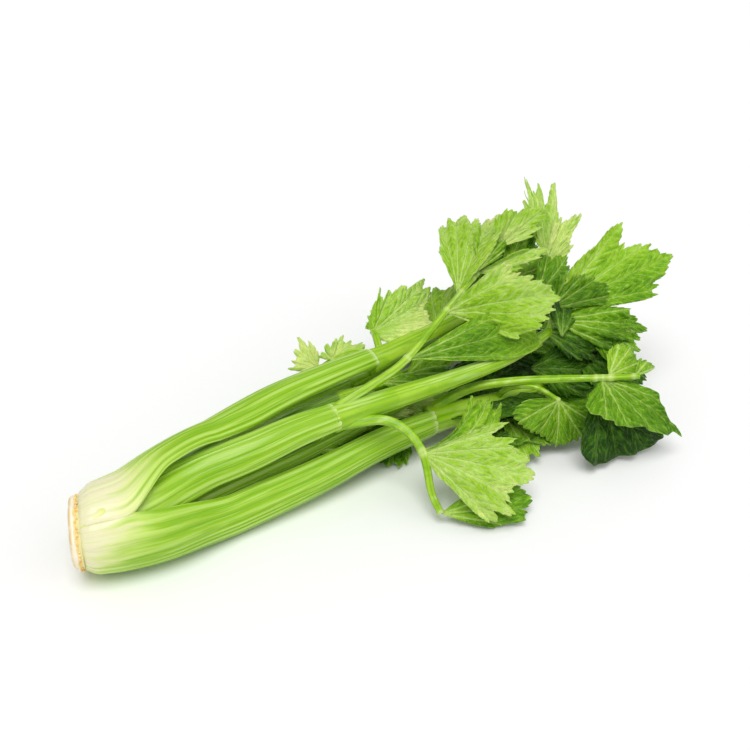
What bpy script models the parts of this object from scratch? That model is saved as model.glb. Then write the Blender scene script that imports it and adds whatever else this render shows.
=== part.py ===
"""Head of celery: a crown, nine ribbed leaf stalks round it and the leafy top of each stalk.

The head lies on its side on z = 0. +X runs from the cut root end to the leaves, and -Y is the front.
Sizes and places are in millimetres and become metres where a mesh is made. Angles are in degrees:
in a section across the head, 0 looks to the front, 90 up, 180 to the back and 270 down.
"""
import math
import random

import bmesh
import bpy
from mathutils import Vector

MM = 0.001
GAP = 0.35

# The flat spot under the lowest stalk on which the head rests. It becomes the origin.
REST_SPOT = (40.0, -18.0, 0.0)

# The crown, and the bulb that the stalks' feet form round it.
CUT_FACE_X = -48.5
CROWN_THICKNESS = 5.85
CROWN_RADIUS = 22.0
CROWN_CHAMFER = 1.2
CROWN_YAW = -25.6
FOOT_X = -42.0
LEAN_END_X = 6.0
BULB_LINE = ((-47, 0.0, 30.6), (-12, -6.0, 28.8), (30, -8.0, 32.6), (70, -4.0, 36.6))
BULB_RADIUS = ((-42, 22.8), (-38, 26.0), (-29, 28.4), (-12, 30.3), (70, 30.3))
BULB_MAX_RADIUS = 29.0

# Each ring of stalks: share of the bulb's radius, depth at the foot, ribs, rib height, points of the
# inner face, and the stretch of X over which its stalks leave the bulb.
RINGS = {
    "outer": (1.0, 4.8, 9, 0.8, 8, (-24, 46)),
    "middle": (0.80, 5.6, 6, 0.6, 7, (-22, 42)),
    "heart": (0.56, 5.6, 3, 0.3, 5, (-20, 40)),
}
# A stalk's thin edges: their length toward its middle, and the most that takes of its depth.
EDGE = 3.0
EDGE_SHARE = 0.45
TAPER_POWER = 1.5
NODE_SWELL = 0.5
NODE_LENGTH = 2.5
# How far before a stalk's end its last free station and the swollen one lie.
NODE_STATIONS = (5.0, 2.25)

# A stalk's foot is a sector of the bulb: facing and half angle. Past the bulb it follows its own
# route of section centres (x, y, z), with its own facing, half angle, radius and depth.
STALKS = {
    "bottom": {
        "ring": "outer", "foot": (-28, 71.5), "free": (-12, 83), "radius": (17.5, 12.0), "depth": (8.5, 17),
        "route": ((46, -16, 15.2), (110, -20, 20.0), (150, -21, 24.0), (192, -24, 25.4)),
    },
    "top": {
        "ring": "outer", "foot": (107, 61.5), "free": (108, 86), "radius": (15.0, 11.0), "depth": (8.0, 15),
        "route": ((46, 0, 54), (90, 3, 60), (130, 6, 60.3), (170, 8.7, 59)), "open": 27,
    },
    "back": {
        "ring": "outer", "foot": (214.5, 44), "free": (220, 78), "radius": (15.5, 10.5), "depth": (8.0, 15),
        "route": ((46, 10, 17), (110, 14, 16.5), (150, 17, 17), (186, 20, 19)),
    },
    "front": {
        "ring": "middle", "foot": (56, 44), "free": (47, 76), "radius": (13.0, 9.6), "depth": (8.0, 15),
        "route": ((8, -1.5, 39), (40, -10.5, 45.5), (62, -16, 50), (90, -20, 55), (119, -24, 57.5)),
    },
    "inner_front": {
        "ring": "middle", "foot": (-75, 57.5), "free": (-20, 78), "radius": (8.5, 6.5), "depth": (6.5, 10.5),
        "route": ((20, -7, 23), (62, -10, 27.5), (100, -12, 30.5), (150, -12, 35)),
    },
    "inner_back": {
        "ring": "middle", "foot": (165, 57.5), "free": (165, 78), "radius": (9.0, 7.0), "depth": (6.5, 11),
        "route": ((20, 8, 34), (62, 10, 38), (110, 12, 40), (160, 14, 41)),
    },
    "heart_top": {
        "ring": "heart", "foot": (90, 52), "free": (90, 85), "radius": (4.6, 3.8), "depth": (4.6, 6.2),
        "route": ((20, -1, 39), (62, -1, 44.5), (100, 0, 49), (140, 0, 50)),
    },
    "heart_low": {
        "ring": "heart", "foot": (214, 48), "free": (225, 85), "radius": (4.4, 3.6), "depth": (4.4, 6),
        "route": ((20, 3, 24), (62, 3, 24), (100, 1, 24), (130, 0, 25)),
    },
    "heart_mid": {
        "ring": "heart", "foot": (-32, 50), "free": (-30, 85), "radius": (3.6, 3.0), "depth": (3.8, 5),
        "route": ((20, -3, 31), (62, -1, 33), (90, 0, 35), (118, 1, 36)),
    },
}
# Where a stalk's edges draw back from its neighbour: they start to, are back, start to return, are returned.
OPEN_X = (-23, 14, 26, 80)
OPEN_TURN = 0.45
FOOT_STATIONS = (-38, -29, -15, 0, 12, 24, 36, 48, 62)
FREE_STATIONS = 3

# The leaf stem past each stalk's node: half angle, depth and edge as shares of its radius, ribs, rib height.
LEAF_STEM_HALF = 112
LEAF_STEM_DEPTH = 1.72
LEAF_STEM_EDGE = 0.2
LEAF_STEM_RIBS = 4
LEAF_STEM_RIB_HEIGHT = 0.25
LEAF_STEM_INNER_POINTS = 6
LEAF_STEM_STATIONS = 6

# Half of a leaflet's toothed outline: share of its half spread, share of its length.
OUTLINES = {
    "broad": ((0, 1), (0.13, 0.89), (0.24, 0.95), (0.37, 0.79), (0.49, 0.87), (0.61, 0.73),
              (0.74, 0.76), (0.87, 0.60), (1, 0.48)),
    "ovate": ((0, 1), (0.16, 0.87), (0.30, 0.92), (0.44, 0.79), (0.57, 0.83), (0.71, 0.66),
              (0.85, 0.66), (1, 0.42)),
    "lobed": ((0, 1), (0.12, 0.82), (0.22, 0.86), (0.36, 0.54), (0.50, 0.86), (0.63, 0.70),
              (0.76, 0.74), (0.88, 0.56), (1, 0.42)),
    "plain": ((0, 1), (0.20, 0.90), (0.40, 0.92), (0.60, 0.76), (0.80, 0.72), (1, 0.45)),
    "drawn": ((0, 1), (0.10, 0.74), (0.30, 0.62), (0.55, 0.60), (0.80, 0.52), (1, 0.44)),
    "blunt": ((0, 1), (0.35, 0.99), (0.70, 0.94), (1, 0.80)),
}
BLADE_THICKNESS = 0.8
BLADE_ROWS = (0.5, 1.0)
LOWEST_BLADE = BLADE_THICKNESS / 2
REACH_CHANGE = (0.94, 1.06)
WAVE_HEIGHT = 0.03
WAVE_RATE = 7
STEM_SIDES_RESOLUTION = 1

UP = (0, 0, 1)
FRONT = (-0.2, -0.7, 0.7)
BACK = (0.1, 0.6, 0.8)

# A leaflet is: base, tip, the way its upper face looks, outline, half spread, arch and fold.
FRONDS = {
    "front": {
        "stem": ((119, -24, 57.5), (160, -29, 58), (205, -35, 59), (250, -38, 61), (290, -34, 66)),
        "radius": (8.6, 3.2),
        "branches": (
            (((122, -22, 66), (146, -22, 68.5), (177, -17, 73), (218, -2, 84), (263, 18, 92), (289, 27, 99)),
             3.4, 1.8),
            (((121, -30, 52), (143, -38, 54), (153, -51, 50), (156, -66, 39), (153, -79, 19), (153, -89, 9)),
             3.8, 2.2),
            (((284, -34, 65), (288, -31, 72), (289, -28, 79)), 2.2, 1.6),
        ),
        "leaves": (
            ((222, 0, 84), (283, -43, 95), FRONT, "broad", 34, 0.05, 6),
            ((240, 10, 88), (295, 74, 99), UP, "broad", 33, 0.08, 12),
            ((286, 27, 99), (333, 28, 113), FRONT, "ovate", 36, 0.05, 12),
            ((262, 17, 92), (317, 7, 100), FRONT, "ovate", 22, 0.05, 12),
            ((180, -17, 73), (272, -43, 63), FRONT, "broad", 28, 0.06, 4),
            ((156, -66, 39), (212, -108, 26), FRONT, "lobed", 54, 0.10, 0),
            ((153, -89, 9), (208, -113, 11), FRONT, "broad", 34, 0.06, 0),
            ((157, -65, 41), (219, -51, 46), FRONT, "broad", 20, 0.06, 0),
            ((289, -29, 76), (379, -48, 98), FRONT, "broad", 36, 0.08, 8),
            ((288, -29, 78), (324, -44, 92), FRONT, "broad", 32, 0.04, 4),
            ((287, -33, 71), (343, -68, 62), FRONT, "broad", 31, 0.08, 6),
            ((280, -33, 66), (303, -65, 50), FRONT, "broad", 38, 0.05, 0),
        ),
    },
    "top": {
        "stem": ((170, 8.7, 59), (210, 12, 60), (250, 14, 63), (295, 14, 72), (325, 14, 82)),
        "radius": (9.2, 3.0),
        "branches": (
            (((180, 12, 66), (182, 22, 68), (186, 31, 66)), 3.0, 2.0),
            (((180, 16, 60), (172, 32, 55), (160, 43, 46), (150, 45, 41)), 2.6, 1.6),
        ),
        "leaves": (
            ((186, 31, 66), (237, 44, 72), FRONT, "lobed", 46, 0.08, 10),
            ((151, 45, 41), (147, 66, 60), FRONT, "lobed", 50, 0.06, 10),
            ((161, 42, 47), (175, 52, 60), FRONT, "ovate", 48, 0.06, 10),
            ((322, 14, 81), (352, 71, 117), FRONT, "lobed", 24, 0.06, 20),
            ((320, 14, 80), (354, 28, 104), FRONT, "ovate", 20, 0.06, 20),
            ((295, 14, 72), (332, 64, 88), BACK, "broad", 36, 0.08, 10),
        ),
    },
    "bottom": {
        "stem": ((192, -24, 25.4), (230, -33, 26), (280, -41, 27), (325, -44, 32)),
        "radius": (10.6, 3.0),
        "branches": (
            (((197, -26, 38), (219, -32, 43), (242, -47, 48), (266, -67, 52), (286, -85, 55), (306, -98, 56)),
             4.0, 1.8),
            (((243, -48, 48), (252, -58, 46), (263, -71, 38)), 2.2, 1.6),
        ),
        "leaves": (
            ((262, -71, 39), (256, -79, 8), FRONT, "broad", 70, 0.06, 0),
            ((286, -85, 54), (325, -126, 16), (0.1, -0.7, 0.7), "drawn", 46, 0.06, 10),
            ((283, -83, 53), (278, -109, 4), (-0.1, -0.8, 0.5), "blunt", 44, 0.06, 0),
            ((303, -96, 56), (328, -91, 50), FRONT, "ovate", 40, 0.06, 0),
            ((290, -86, 56), (318, -76, 62), FRONT, "ovate", 50, 0.06, 0),
            ((291, -88, 52), (310, -97, 42), FRONT, "ovate", 30, 0.06, 0),
            ((240, -38, 24), (242, -81, 7), FRONT, "broad", 52, 0.06, 0),
            ((268, -40, 26), (288, -84, 16), FRONT, "ovate", 50, 0.06, 0),
            ((321, -44, 32), (344, -72, 22), UP, "broad", 64, 0.08, 0),
        ),
    },
    "back": {
        "stem": ((186, 20, 19), (230, 28, 20), (280, 36, 24), (325, 40, 34)),
        "radius": (9.6, 3.0),
        "branches": (
            (((196, 18, 10), (190, 6, 6), (184, -2, 4)), 2.4, 1.8),
        ),
        "leaves": (
            ((184, -2, 4), (156, -28, 2), UP, "ovate", 38, 0.02, 0),
            ((225, 30, 22), (252, 76, -3), UP, "plain", 46, 0.12, 0),
            ((265, 36, 24), (300, 84, -4), UP, "plain", 46, 0.12, 0),
            ((298, 40, 28), (350, 80, 20), UP, "plain", 46, 0.12, 0),
            ((322, 40, 33), (368, 50, 26), UP, "plain", 46, 0.12, 0),
            ((280, 34, 22), (323, -41, 6), UP, "plain", 46, 0.06, 0),
        ),
    },
    "inner_front": {
        "stem": ((150, -12, 35), (200, -11, 39), (250, -8, 43), (300, -6, 46)),
        "radius": (6.2, 2.4),
        "branches": (),
        "leaves": (
            ((297, -6, 46), (346, -18, 54), UP, "plain", 46, 0.08, 0),
            ((262, -8, 44), (300, -28, 44), UP, "plain", 40, 0.08, 0),
            ((280, -6, 45), (317, 20, 48), UP, "plain", 42, 0.08, 0),
        ),
    },
    "inner_back": {
        "stem": ((160, 14, 41), (210, 21, 43), (260, 28, 48), (305, 34, 54)),
        "radius": (6.6, 2.4),
        "branches": (),
        "leaves": (
            ((240, 26, 45), (280, 66, 54), BACK, "plain", 40, 0.08, 0),
            ((285, 32, 51), (330, 68, 50), BACK, "plain", 40, 0.08, 0),
            ((302, 34, 54), (352, 44, 64), UP, "plain", 44, 0.08, 0),
        ),
    },
    "heart_top": {
        "stem": ((140, 0, 50), (165, -2, 50), (188, -6, 50)),
        "radius": (3.6, 2.0),
        "branches": (),
        "leaves": (
            ((168, -2, 50), (196, -22, 47), UP, "ovate", 40, 0.12, 0),
            ((186, -6, 50), (218, -14, 51), UP, "lobed", 50, 0.12, 0),
        ),
    },
    "heart_low": {
        "stem": ((130, 0, 25), (152, -2, 26), (172, -4, 27)),
        "radius": (3.4, 2.0),
        "branches": (),
        "leaves": (
            ((170, -4, 27), (204, -8, 26), UP, "lobed", 40, 0.12, 0),
        ),
    },
    "heart_mid": {
        "stem": ((118, 1, 36), (140, 3, 34), (158, 5, 32)),
        "radius": (2.8, 1.8),
        "branches": (),
        "leaves": (
            ((156, 5, 32), (182, 5, 31), UP, "lobed", 30, 0.10, 0),
        ),
    },
}


def smoothstep(t):
    t = min(max(t, 0.0), 1.0)
    return t * t * (3 - 2 * t)


def between(keys, x):
    """The values of the keys (x, values...) at x, in straight steps."""
    if x <= keys[0][0]:
        return keys[0][1:]
    for low, high in zip(keys, keys[1:]):
        if x <= high[0]:
            share = (x - low[0]) / (high[0] - low[0])
            return tuple(a + (b - a) * share for a, b in zip(low[1:], high[1:]))
    return keys[-1][1:]


def smooth_route(points, steps):
    """A smooth line through the points, with this many steps from each to the next."""
    points = [Vector(p) for p in points]
    ends = [2 * points[0] - points[1]] + points + [2 * points[-1] - points[-2]]
    line = []
    for a, b, c, d in zip(ends, ends[1:], ends[2:], ends[3:]):
        for i in range(steps):
            t = i / steps
            line.append(0.5 * (2 * b + (c - a) * t + (2 * a - 5 * b + 4 * c - d) * t * t
                               + (3 * b - a - 3 * c + d) * t ** 3))
    return line + [points[-1]]


def spoke(angle):
    return Vector((0.0, -math.cos(angle), math.sin(angle)))


def crescent(centre, facing, half, radius, depth, edge, ribs, rib_height, inner_points, flatness):
    """One section: out along the ribbed outer face, back along the inner one.

    The inner face is an arc round the centre at flatness 0, and a shallow bow at flatness 1.
    """
    points = []
    for i in range(2 * ribs + 1):
        angle = facing + half * (i / ribs - 1)
        height = 0.0 if i % 2 else -rib_height
        points.append(centre + (radius + height) * spoke(angle))
    first = (radius - edge) * spoke(facing + half)
    last = (radius - edge) * spoke(facing - half)
    bow = radius - depth - (radius - edge) * math.cos(half)
    for i in range(inner_points):
        share = i / (inner_points - 1)
        arc = (radius - depth) * spoke(facing + half * (1 - 2 * share))
        shallow = first.lerp(last, share) + 4 * share * (1 - share) * bow * spoke(facing)
        points.append(centre + arc.lerp(shallow, flatness))
    return points


def new_object(name, mesh, collection):
    thing = bpy.data.objects.new(name, mesh)
    collection.objects.link(thing)
    return thing


def loft(name, sections):
    """A closed mesh through sections of equally many points."""
    size = len(sections[0])
    faces = [tuple(range(size))]
    for row in range(len(sections) - 1):
        for i in range(size):
            j = (i + 1) % size
            faces.append((row * size + j, row * size + i, (row + 1) * size + i, (row + 1) * size + j))
    last = (len(sections) - 1) * size
    faces.append(tuple(reversed(range(last, last + size))))
    mesh = bpy.data.meshes.new(name)
    mesh.from_pydata([point * MM for section in sections for point in section], [], faces)
    bm = bmesh.new()
    bm.from_mesh(mesh)
    bmesh.ops.recalc_face_normals(bm, faces=bm.faces)
    bm.to_mesh(mesh)
    bm.free()
    return mesh


def stalk_section(spec, x):
    share, foot_depth, ribs, rib_height, inner_points, (bulb_end, free_start) = RINGS[spec["ring"]]
    end_x = spec["route"][-1][0]
    free = smoothstep((x - bulb_end) / (free_start - bulb_end))
    bared = free * free
    taper = max(0.0, (x - free_start) / (end_x - free_start)) ** TAPER_POWER
    bulb_radius = between(BULB_RADIUS, x)[0]

    def blend(foot_value, free_value):
        return foot_value + (free_value - foot_value) * free

    def tapered(pair):
        return pair[0] + (pair[1] - pair[0]) * taper

    swell = NODE_SWELL * math.exp(-((x - end_x) / NODE_LENGTH) ** 2)
    centre = Vector((x, *between(BULB_LINE, x))).lerp(Vector((x, *between(spec["route"], x))), free)
    facing = math.radians(blend(spec["foot"][0], spec["free"][0]))
    half = math.radians(spec["foot"][1] + (spec["free"][1] - spec["foot"][1]) * bared)
    drawn_back = smoothstep((x - OPEN_X[0]) / (OPEN_X[1] - OPEN_X[0]))
    drawn_back *= 1 - smoothstep((x - OPEN_X[2]) / (OPEN_X[3] - OPEN_X[2]))
    opening = math.radians(spec.get("open", 0)) * drawn_back
    facing += OPEN_TURN * opening
    half -= (1 - OPEN_TURN) * opening
    radius = blend(bulb_radius * share, tapered(spec["radius"])) + swell
    foot_depth *= bulb_radius / BULB_MAX_RADIUS
    depth = foot_depth + (tapered(spec["depth"]) - foot_depth) * bared + swell
    edge = min(EDGE, EDGE_SHARE * depth)
    points = crescent(centre, facing, half, radius, depth, edge, ribs, rib_height, inner_points, free)
    lean = 1 - smoothstep((x - FOOT_X) / (LEAN_END_X - FOOT_X))
    slope = lean * math.sin(math.radians(-CROWN_YAW))
    squeeze = 1 - lean * (1 - math.cos(math.radians(CROWN_YAW)))
    leaned = []
    for point in points:
        sideways = point.y - centre.y
        leaned.append(Vector((x + slope * sideways, centre.y + squeeze * sideways, max(point.z, 0.0))))
    return leaned


def stalk_stations(spec):
    end_x = spec["route"][-1][0]
    first, last = FOOT_STATIONS[-1], end_x - NODE_STATIONS[0]
    free = [first + (last - first) * (i + 1) / FREE_STATIONS for i in range(FREE_STATIONS)]
    return [FOOT_X, *FOOT_STATIONS, *free, end_x - NODE_STATIONS[1], end_x]


def make_stalk(name, spec, collection):
    sections = [stalk_section(spec, x) for x in stalk_stations(spec)]
    return new_object("stalk_" + name, loft("stalk_" + name, sections), collection)


def make_crown(collection):
    yaw = math.radians(CROWN_YAW)
    axis = Vector((math.cos(yaw), math.sin(yaw), 0))
    cut_face = Vector((CUT_FACE_X, *BULB_LINE[0][1:]))
    centre = (cut_face + axis * CROWN_THICKNESS / 2) * MM
    bpy.ops.mesh.primitive_cylinder_add(
        vertices=32, radius=CROWN_RADIUS * MM, depth=CROWN_THICKNESS * MM,
        location=centre, rotation=(0, math.pi / 2, yaw),
    )
    crown = bpy.context.object
    crown.name = "crown"
    bevel = crown.modifiers.new("worn_rim", "BEVEL")
    bevel.width = CROWN_CHAMFER * MM
    bevel.segments = 1
    for owner in list(crown.users_collection):
        owner.objects.unlink(crown)
    collection.objects.link(crown)
    return crown


def leaf_stem(frond, facing):
    """The leaf stem that continues a stalk past its node, round behind and grooved in front."""
    route = smooth_route(frond["stem"], 4)
    keys = [tuple(p) for p in route]
    start = keys[0][0] + GAP
    end = keys[-1][0]
    sections = []
    for i in range(LEAF_STEM_STATIONS):
        share = i / (LEAF_STEM_STATIONS - 1)
        x = start + (end - start) * share
        radius = frond["radius"][0] + (frond["radius"][1] - frond["radius"][0]) * share
        sections.append(crescent(
            Vector((x, *between(keys, x))), math.radians(facing), math.radians(LEAF_STEM_HALF), radius,
            LEAF_STEM_DEPTH * radius, LEAF_STEM_EDGE * radius, LEAF_STEM_RIBS, LEAF_STEM_RIB_HEIGHT,
            LEAF_STEM_INNER_POINTS, 1.0))
    return loft("leaf_stem", sections)


def side_stem(route, first_radius, last_radius, collection):
    """A thin round stem as a tapered tube."""
    line = smooth_route(route, 2)
    curve = bpy.data.curves.new("side_stem", "CURVE")
    curve.dimensions = "3D"
    curve.bevel_depth = first_radius * MM
    curve.bevel_resolution = STEM_SIDES_RESOLUTION
    curve.use_fill_caps = True
    spline = curve.splines.new("POLY")
    spline.points.add(len(line) - 1)
    for i, (point, place) in enumerate(zip(spline.points, line)):
        share = i / (len(line) - 1)
        point.co = (*(place * MM), 1)
        point.radius = 1 + (last_radius / first_radius - 1) * share
    guide = bpy.data.objects.new("side_stem_guide", curve)
    bpy.context.scene.collection.objects.link(guide)
    graph = bpy.context.evaluated_depsgraph_get()
    mesh = bpy.data.meshes.new_from_object(guide.evaluated_get(graph))
    bpy.data.objects.remove(guide)
    bm = bmesh.new()
    bm.from_mesh(mesh)
    bmesh.ops.remove_doubles(bm, verts=bm.verts, dist=1e-6)
    bmesh.ops.recalc_face_normals(bm, faces=bm.faces)
    bm.to_mesh(mesh)
    bm.free()
    return new_object("side_stem", mesh, collection)


def leaflet(spec, random_of_leaf, collection):
    """A toothed blade, fanned out from its base, arched, folded along its middle and waved."""
    base, tip, facing, outline, spread, arch, fold = spec
    base, tip = Vector(base), Vector(tip)
    length = (tip - base).length
    ahead = (tip - base).normalized()
    side = Vector(facing).cross(ahead).normalized()
    up = ahead.cross(side)
    half = OUTLINES[outline]
    rim = [(-share, reach) for share, reach in reversed(half[1:])] + list(half)
    wave = random_of_leaf.uniform(0, 2 * math.pi)
    spread, fold = math.radians(spread), math.radians(fold)
    verts = [base * MM]
    for share, reach in rim:
        reach *= random_of_leaf.uniform(*REACH_CHANGE)
        for row in BLADE_ROWS:
            a = row * reach * math.cos(share * spread)
            b = row * reach * math.sin(share * spread)
            height = arch * 4 * a * (1 - a) + abs(b) * math.sin(fold)
            height += WAVE_HEIGHT * row * math.sin(WAVE_RATE * share + wave)
            place = base + length * (a * ahead + b * math.cos(fold) * side + height * up)
            place.z = max(place.z, LOWEST_BLADE)
            verts.append(place * MM)
    rows = len(BLADE_ROWS)
    faces = []
    for ray in range(len(rim) - 1):
        here, there = 1 + ray * rows, 1 + (ray + 1) * rows
        faces.append((0, here, there))
        for row in range(rows - 1):
            faces.append((here + row, here + row + 1, there + row + 1))
            faces.append((here + row, there + row + 1, there + row))
    mesh = bpy.data.meshes.new("leaflet")
    mesh.from_pydata(verts, [], faces)
    blade = new_object("leaflet", mesh, collection)
    thick = blade.modifiers.new("thickness", "SOLIDIFY")
    thick.thickness = BLADE_THICKNESS * MM
    thick.offset = 0
    return blade


def make_frond(name, frond, facing, seed, collection):
    """A leaf stem with its side stems and leaflets, joined into one body."""
    pieces = bpy.data.collections.new("pieces_" + name)
    bpy.context.scene.collection.children.link(pieces)
    leafy = new_object("leaves_" + name, leaf_stem(frond, facing), collection)
    for route, first_radius, last_radius in frond["branches"]:
        side_stem(route, first_radius, last_radius, pieces)
    random_of_leaf = random.Random(seed)
    for spec in frond["leaves"]:
        leaflet(spec, random_of_leaf, pieces)
    # The pieces cross each other deeply, which the manifold solver joins into one clean closed body.
    join = leafy.modifiers.new("join", "BOOLEAN")
    join.operation = "UNION"
    join.operand_type = "COLLECTION"
    join.collection = pieces
    join.solver = "MANIFOLD"
    graph = bpy.context.evaluated_depsgraph_get()
    joined = bpy.data.meshes.new_from_object(leafy.evaluated_get(graph))
    leafy.modifiers.remove(join)
    leafy.data = joined
    joined.name = "leaves_" + name
    for piece in list(pieces.objects):
        bpy.data.objects.remove(piece)
    bpy.data.collections.remove(pieces)
    return leafy


def material(name, colour, roughness):
    made = bpy.data.materials.new(name)
    made.use_nodes = True
    shader = made.node_tree.nodes["Principled BSDF"]
    shader.inputs["Base Color"].default_value = (*colour, 1)
    shader.inputs["Roughness"].default_value = roughness
    shader.inputs["Metallic"].default_value = 0
    return made


def paint(thing, surface):
    thing.data.materials.clear()
    thing.data.materials.append(surface)


def main():
    for thing in list(bpy.data.objects):
        bpy.data.objects.remove(thing)
    celery = bpy.data.collections.new("head_of_celery")
    bpy.context.scene.collection.children.link(celery)
    cream = material("root_cream", (0.86, 0.74, 0.48), 0.6)
    stalk_green = material("stalk_green", (0.46, 0.66, 0.14), 0.35)
    heart_green = material("heart_green", (0.70, 0.78, 0.36), 0.4)
    leaf_green = material("leaf_green", (0.20, 0.42, 0.05), 0.45)
    paint(make_crown(celery), cream)
    for name, spec in STALKS.items():
        stalk = make_stalk(name, spec, celery)
        paint(stalk, heart_green if spec["ring"] == "heart" else stalk_green)
    for seed, (name, frond) in enumerate(FRONDS.items()):
        leafy = make_frond(name, frond, STALKS[name]["free"][0], seed, celery)
        paint(leafy, leaf_green)
    for piece in celery.objects:
        piece.location -= Vector(REST_SPOT) * MM


main()
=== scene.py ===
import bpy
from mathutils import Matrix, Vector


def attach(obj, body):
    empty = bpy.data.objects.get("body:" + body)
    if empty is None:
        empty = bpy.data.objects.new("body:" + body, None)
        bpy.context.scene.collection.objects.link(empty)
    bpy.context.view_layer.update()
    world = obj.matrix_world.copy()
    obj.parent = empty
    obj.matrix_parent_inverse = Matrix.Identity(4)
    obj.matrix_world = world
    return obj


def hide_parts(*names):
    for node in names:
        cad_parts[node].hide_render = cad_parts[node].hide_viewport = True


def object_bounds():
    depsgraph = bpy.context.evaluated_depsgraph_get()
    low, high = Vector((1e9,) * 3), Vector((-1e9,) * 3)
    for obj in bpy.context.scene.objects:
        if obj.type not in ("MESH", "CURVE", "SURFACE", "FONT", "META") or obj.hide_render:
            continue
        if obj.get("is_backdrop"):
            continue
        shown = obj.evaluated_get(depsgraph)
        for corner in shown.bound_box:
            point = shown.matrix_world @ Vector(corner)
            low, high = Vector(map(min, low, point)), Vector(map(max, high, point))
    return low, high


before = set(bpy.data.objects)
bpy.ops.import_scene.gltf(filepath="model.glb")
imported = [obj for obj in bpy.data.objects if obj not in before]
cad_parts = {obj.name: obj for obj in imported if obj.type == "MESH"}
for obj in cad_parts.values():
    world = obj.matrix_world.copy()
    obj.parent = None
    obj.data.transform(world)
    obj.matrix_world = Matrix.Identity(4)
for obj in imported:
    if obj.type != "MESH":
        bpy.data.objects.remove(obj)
CAD_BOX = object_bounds()
print("frame holds", len(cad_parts), "nodes in a box of",
      [round((high - low) * 1000) for low, high in zip(*CAD_BOX)], "mm")

# %% [markdown]
# A head of celery is a short root crown, a bulb of leaf stalks round it, and leafy tops.
# It lies on its side with its cut root to the left. Nearly every piece here stands for one solid of the frame
# and is made from the same few numbers as that solid, only with many more points.
# The first cells hold those numbers. All are millimetres and degrees, as a grower would measure a head:
# +X runs from root to leaves, the front is -Y, and an angle of 0 looks to the front and 90 looks up.

# %% Imports and units
import math
import random

import bmesh
import bpy
import numpy as np
from mathutils import Matrix, Vector

MM = 0.001
REST_SPOT = np.array((40.0, -18.0, 0.0))


def in_frame(points):
    """Points in millimetres from the root's own corner, as metres in the frame."""
    return (np.asarray(points, float) - REST_SPOT) * MM


print("the frame's origin lies at", tuple(REST_SPOT.tolist()), "mm")

# %% [markdown]
# The bulb and the stalks. A celery stalk is a crescent in section: ribbed and round outside, hollowed inside.
# At its foot it is a sector of the bulb, and past the bulb it comes free and follows a route of its own.
# Such a form follows a rule, so a table of a few numbers for each stalk is enough, and none is drawn by hand.

# %% Numbers of the bulb and the stalks
# The crown, and the bulb that the stalks' feet form round it.
CUT_FACE_X = -48.5
CROWN_THICKNESS = 5.85
CROWN_RADIUS = 22.0
CROWN_YAW = -25.6
FOOT_X = -42.0
LEAN_END_X = 6.0
BULB_LINE = ((-47, 0.0, 30.6), (-12, -6.0, 28.8), (30, -8.0, 32.6), (70, -4.0, 36.6))
BULB_RADIUS = ((-42, 22.8), (-38, 26.0), (-29, 28.4), (-12, 30.3), (70, 30.3))
BULB_MAX_RADIUS = 29.0

# Each ring of stalks: share of the bulb's radius, depth at the foot, ribs, rib height, and the stretch
# of X over which its stalks leave the bulb.
RINGS = {
    "outer": (1.0, 4.8, 9, 0.8, (-24, 46)),
    "middle": (0.80, 5.6, 6, 0.6, (-22, 42)),
    "heart": (0.56, 5.6, 3, 0.3, (-20, 40)),
}

# A stalk's thin edges: their length toward its middle, and the most that takes of its depth.
EDGE = 3.0
EDGE_SHARE = 0.45
TAPER_POWER = 1.5
NODE_SWELL = 0.5
NODE_LENGTH = 2.5
# How far before a stalk's end its last even station and its pale ring lie.
LAST_STATION = 5.0
RING_PLACE = 0.6

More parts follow.
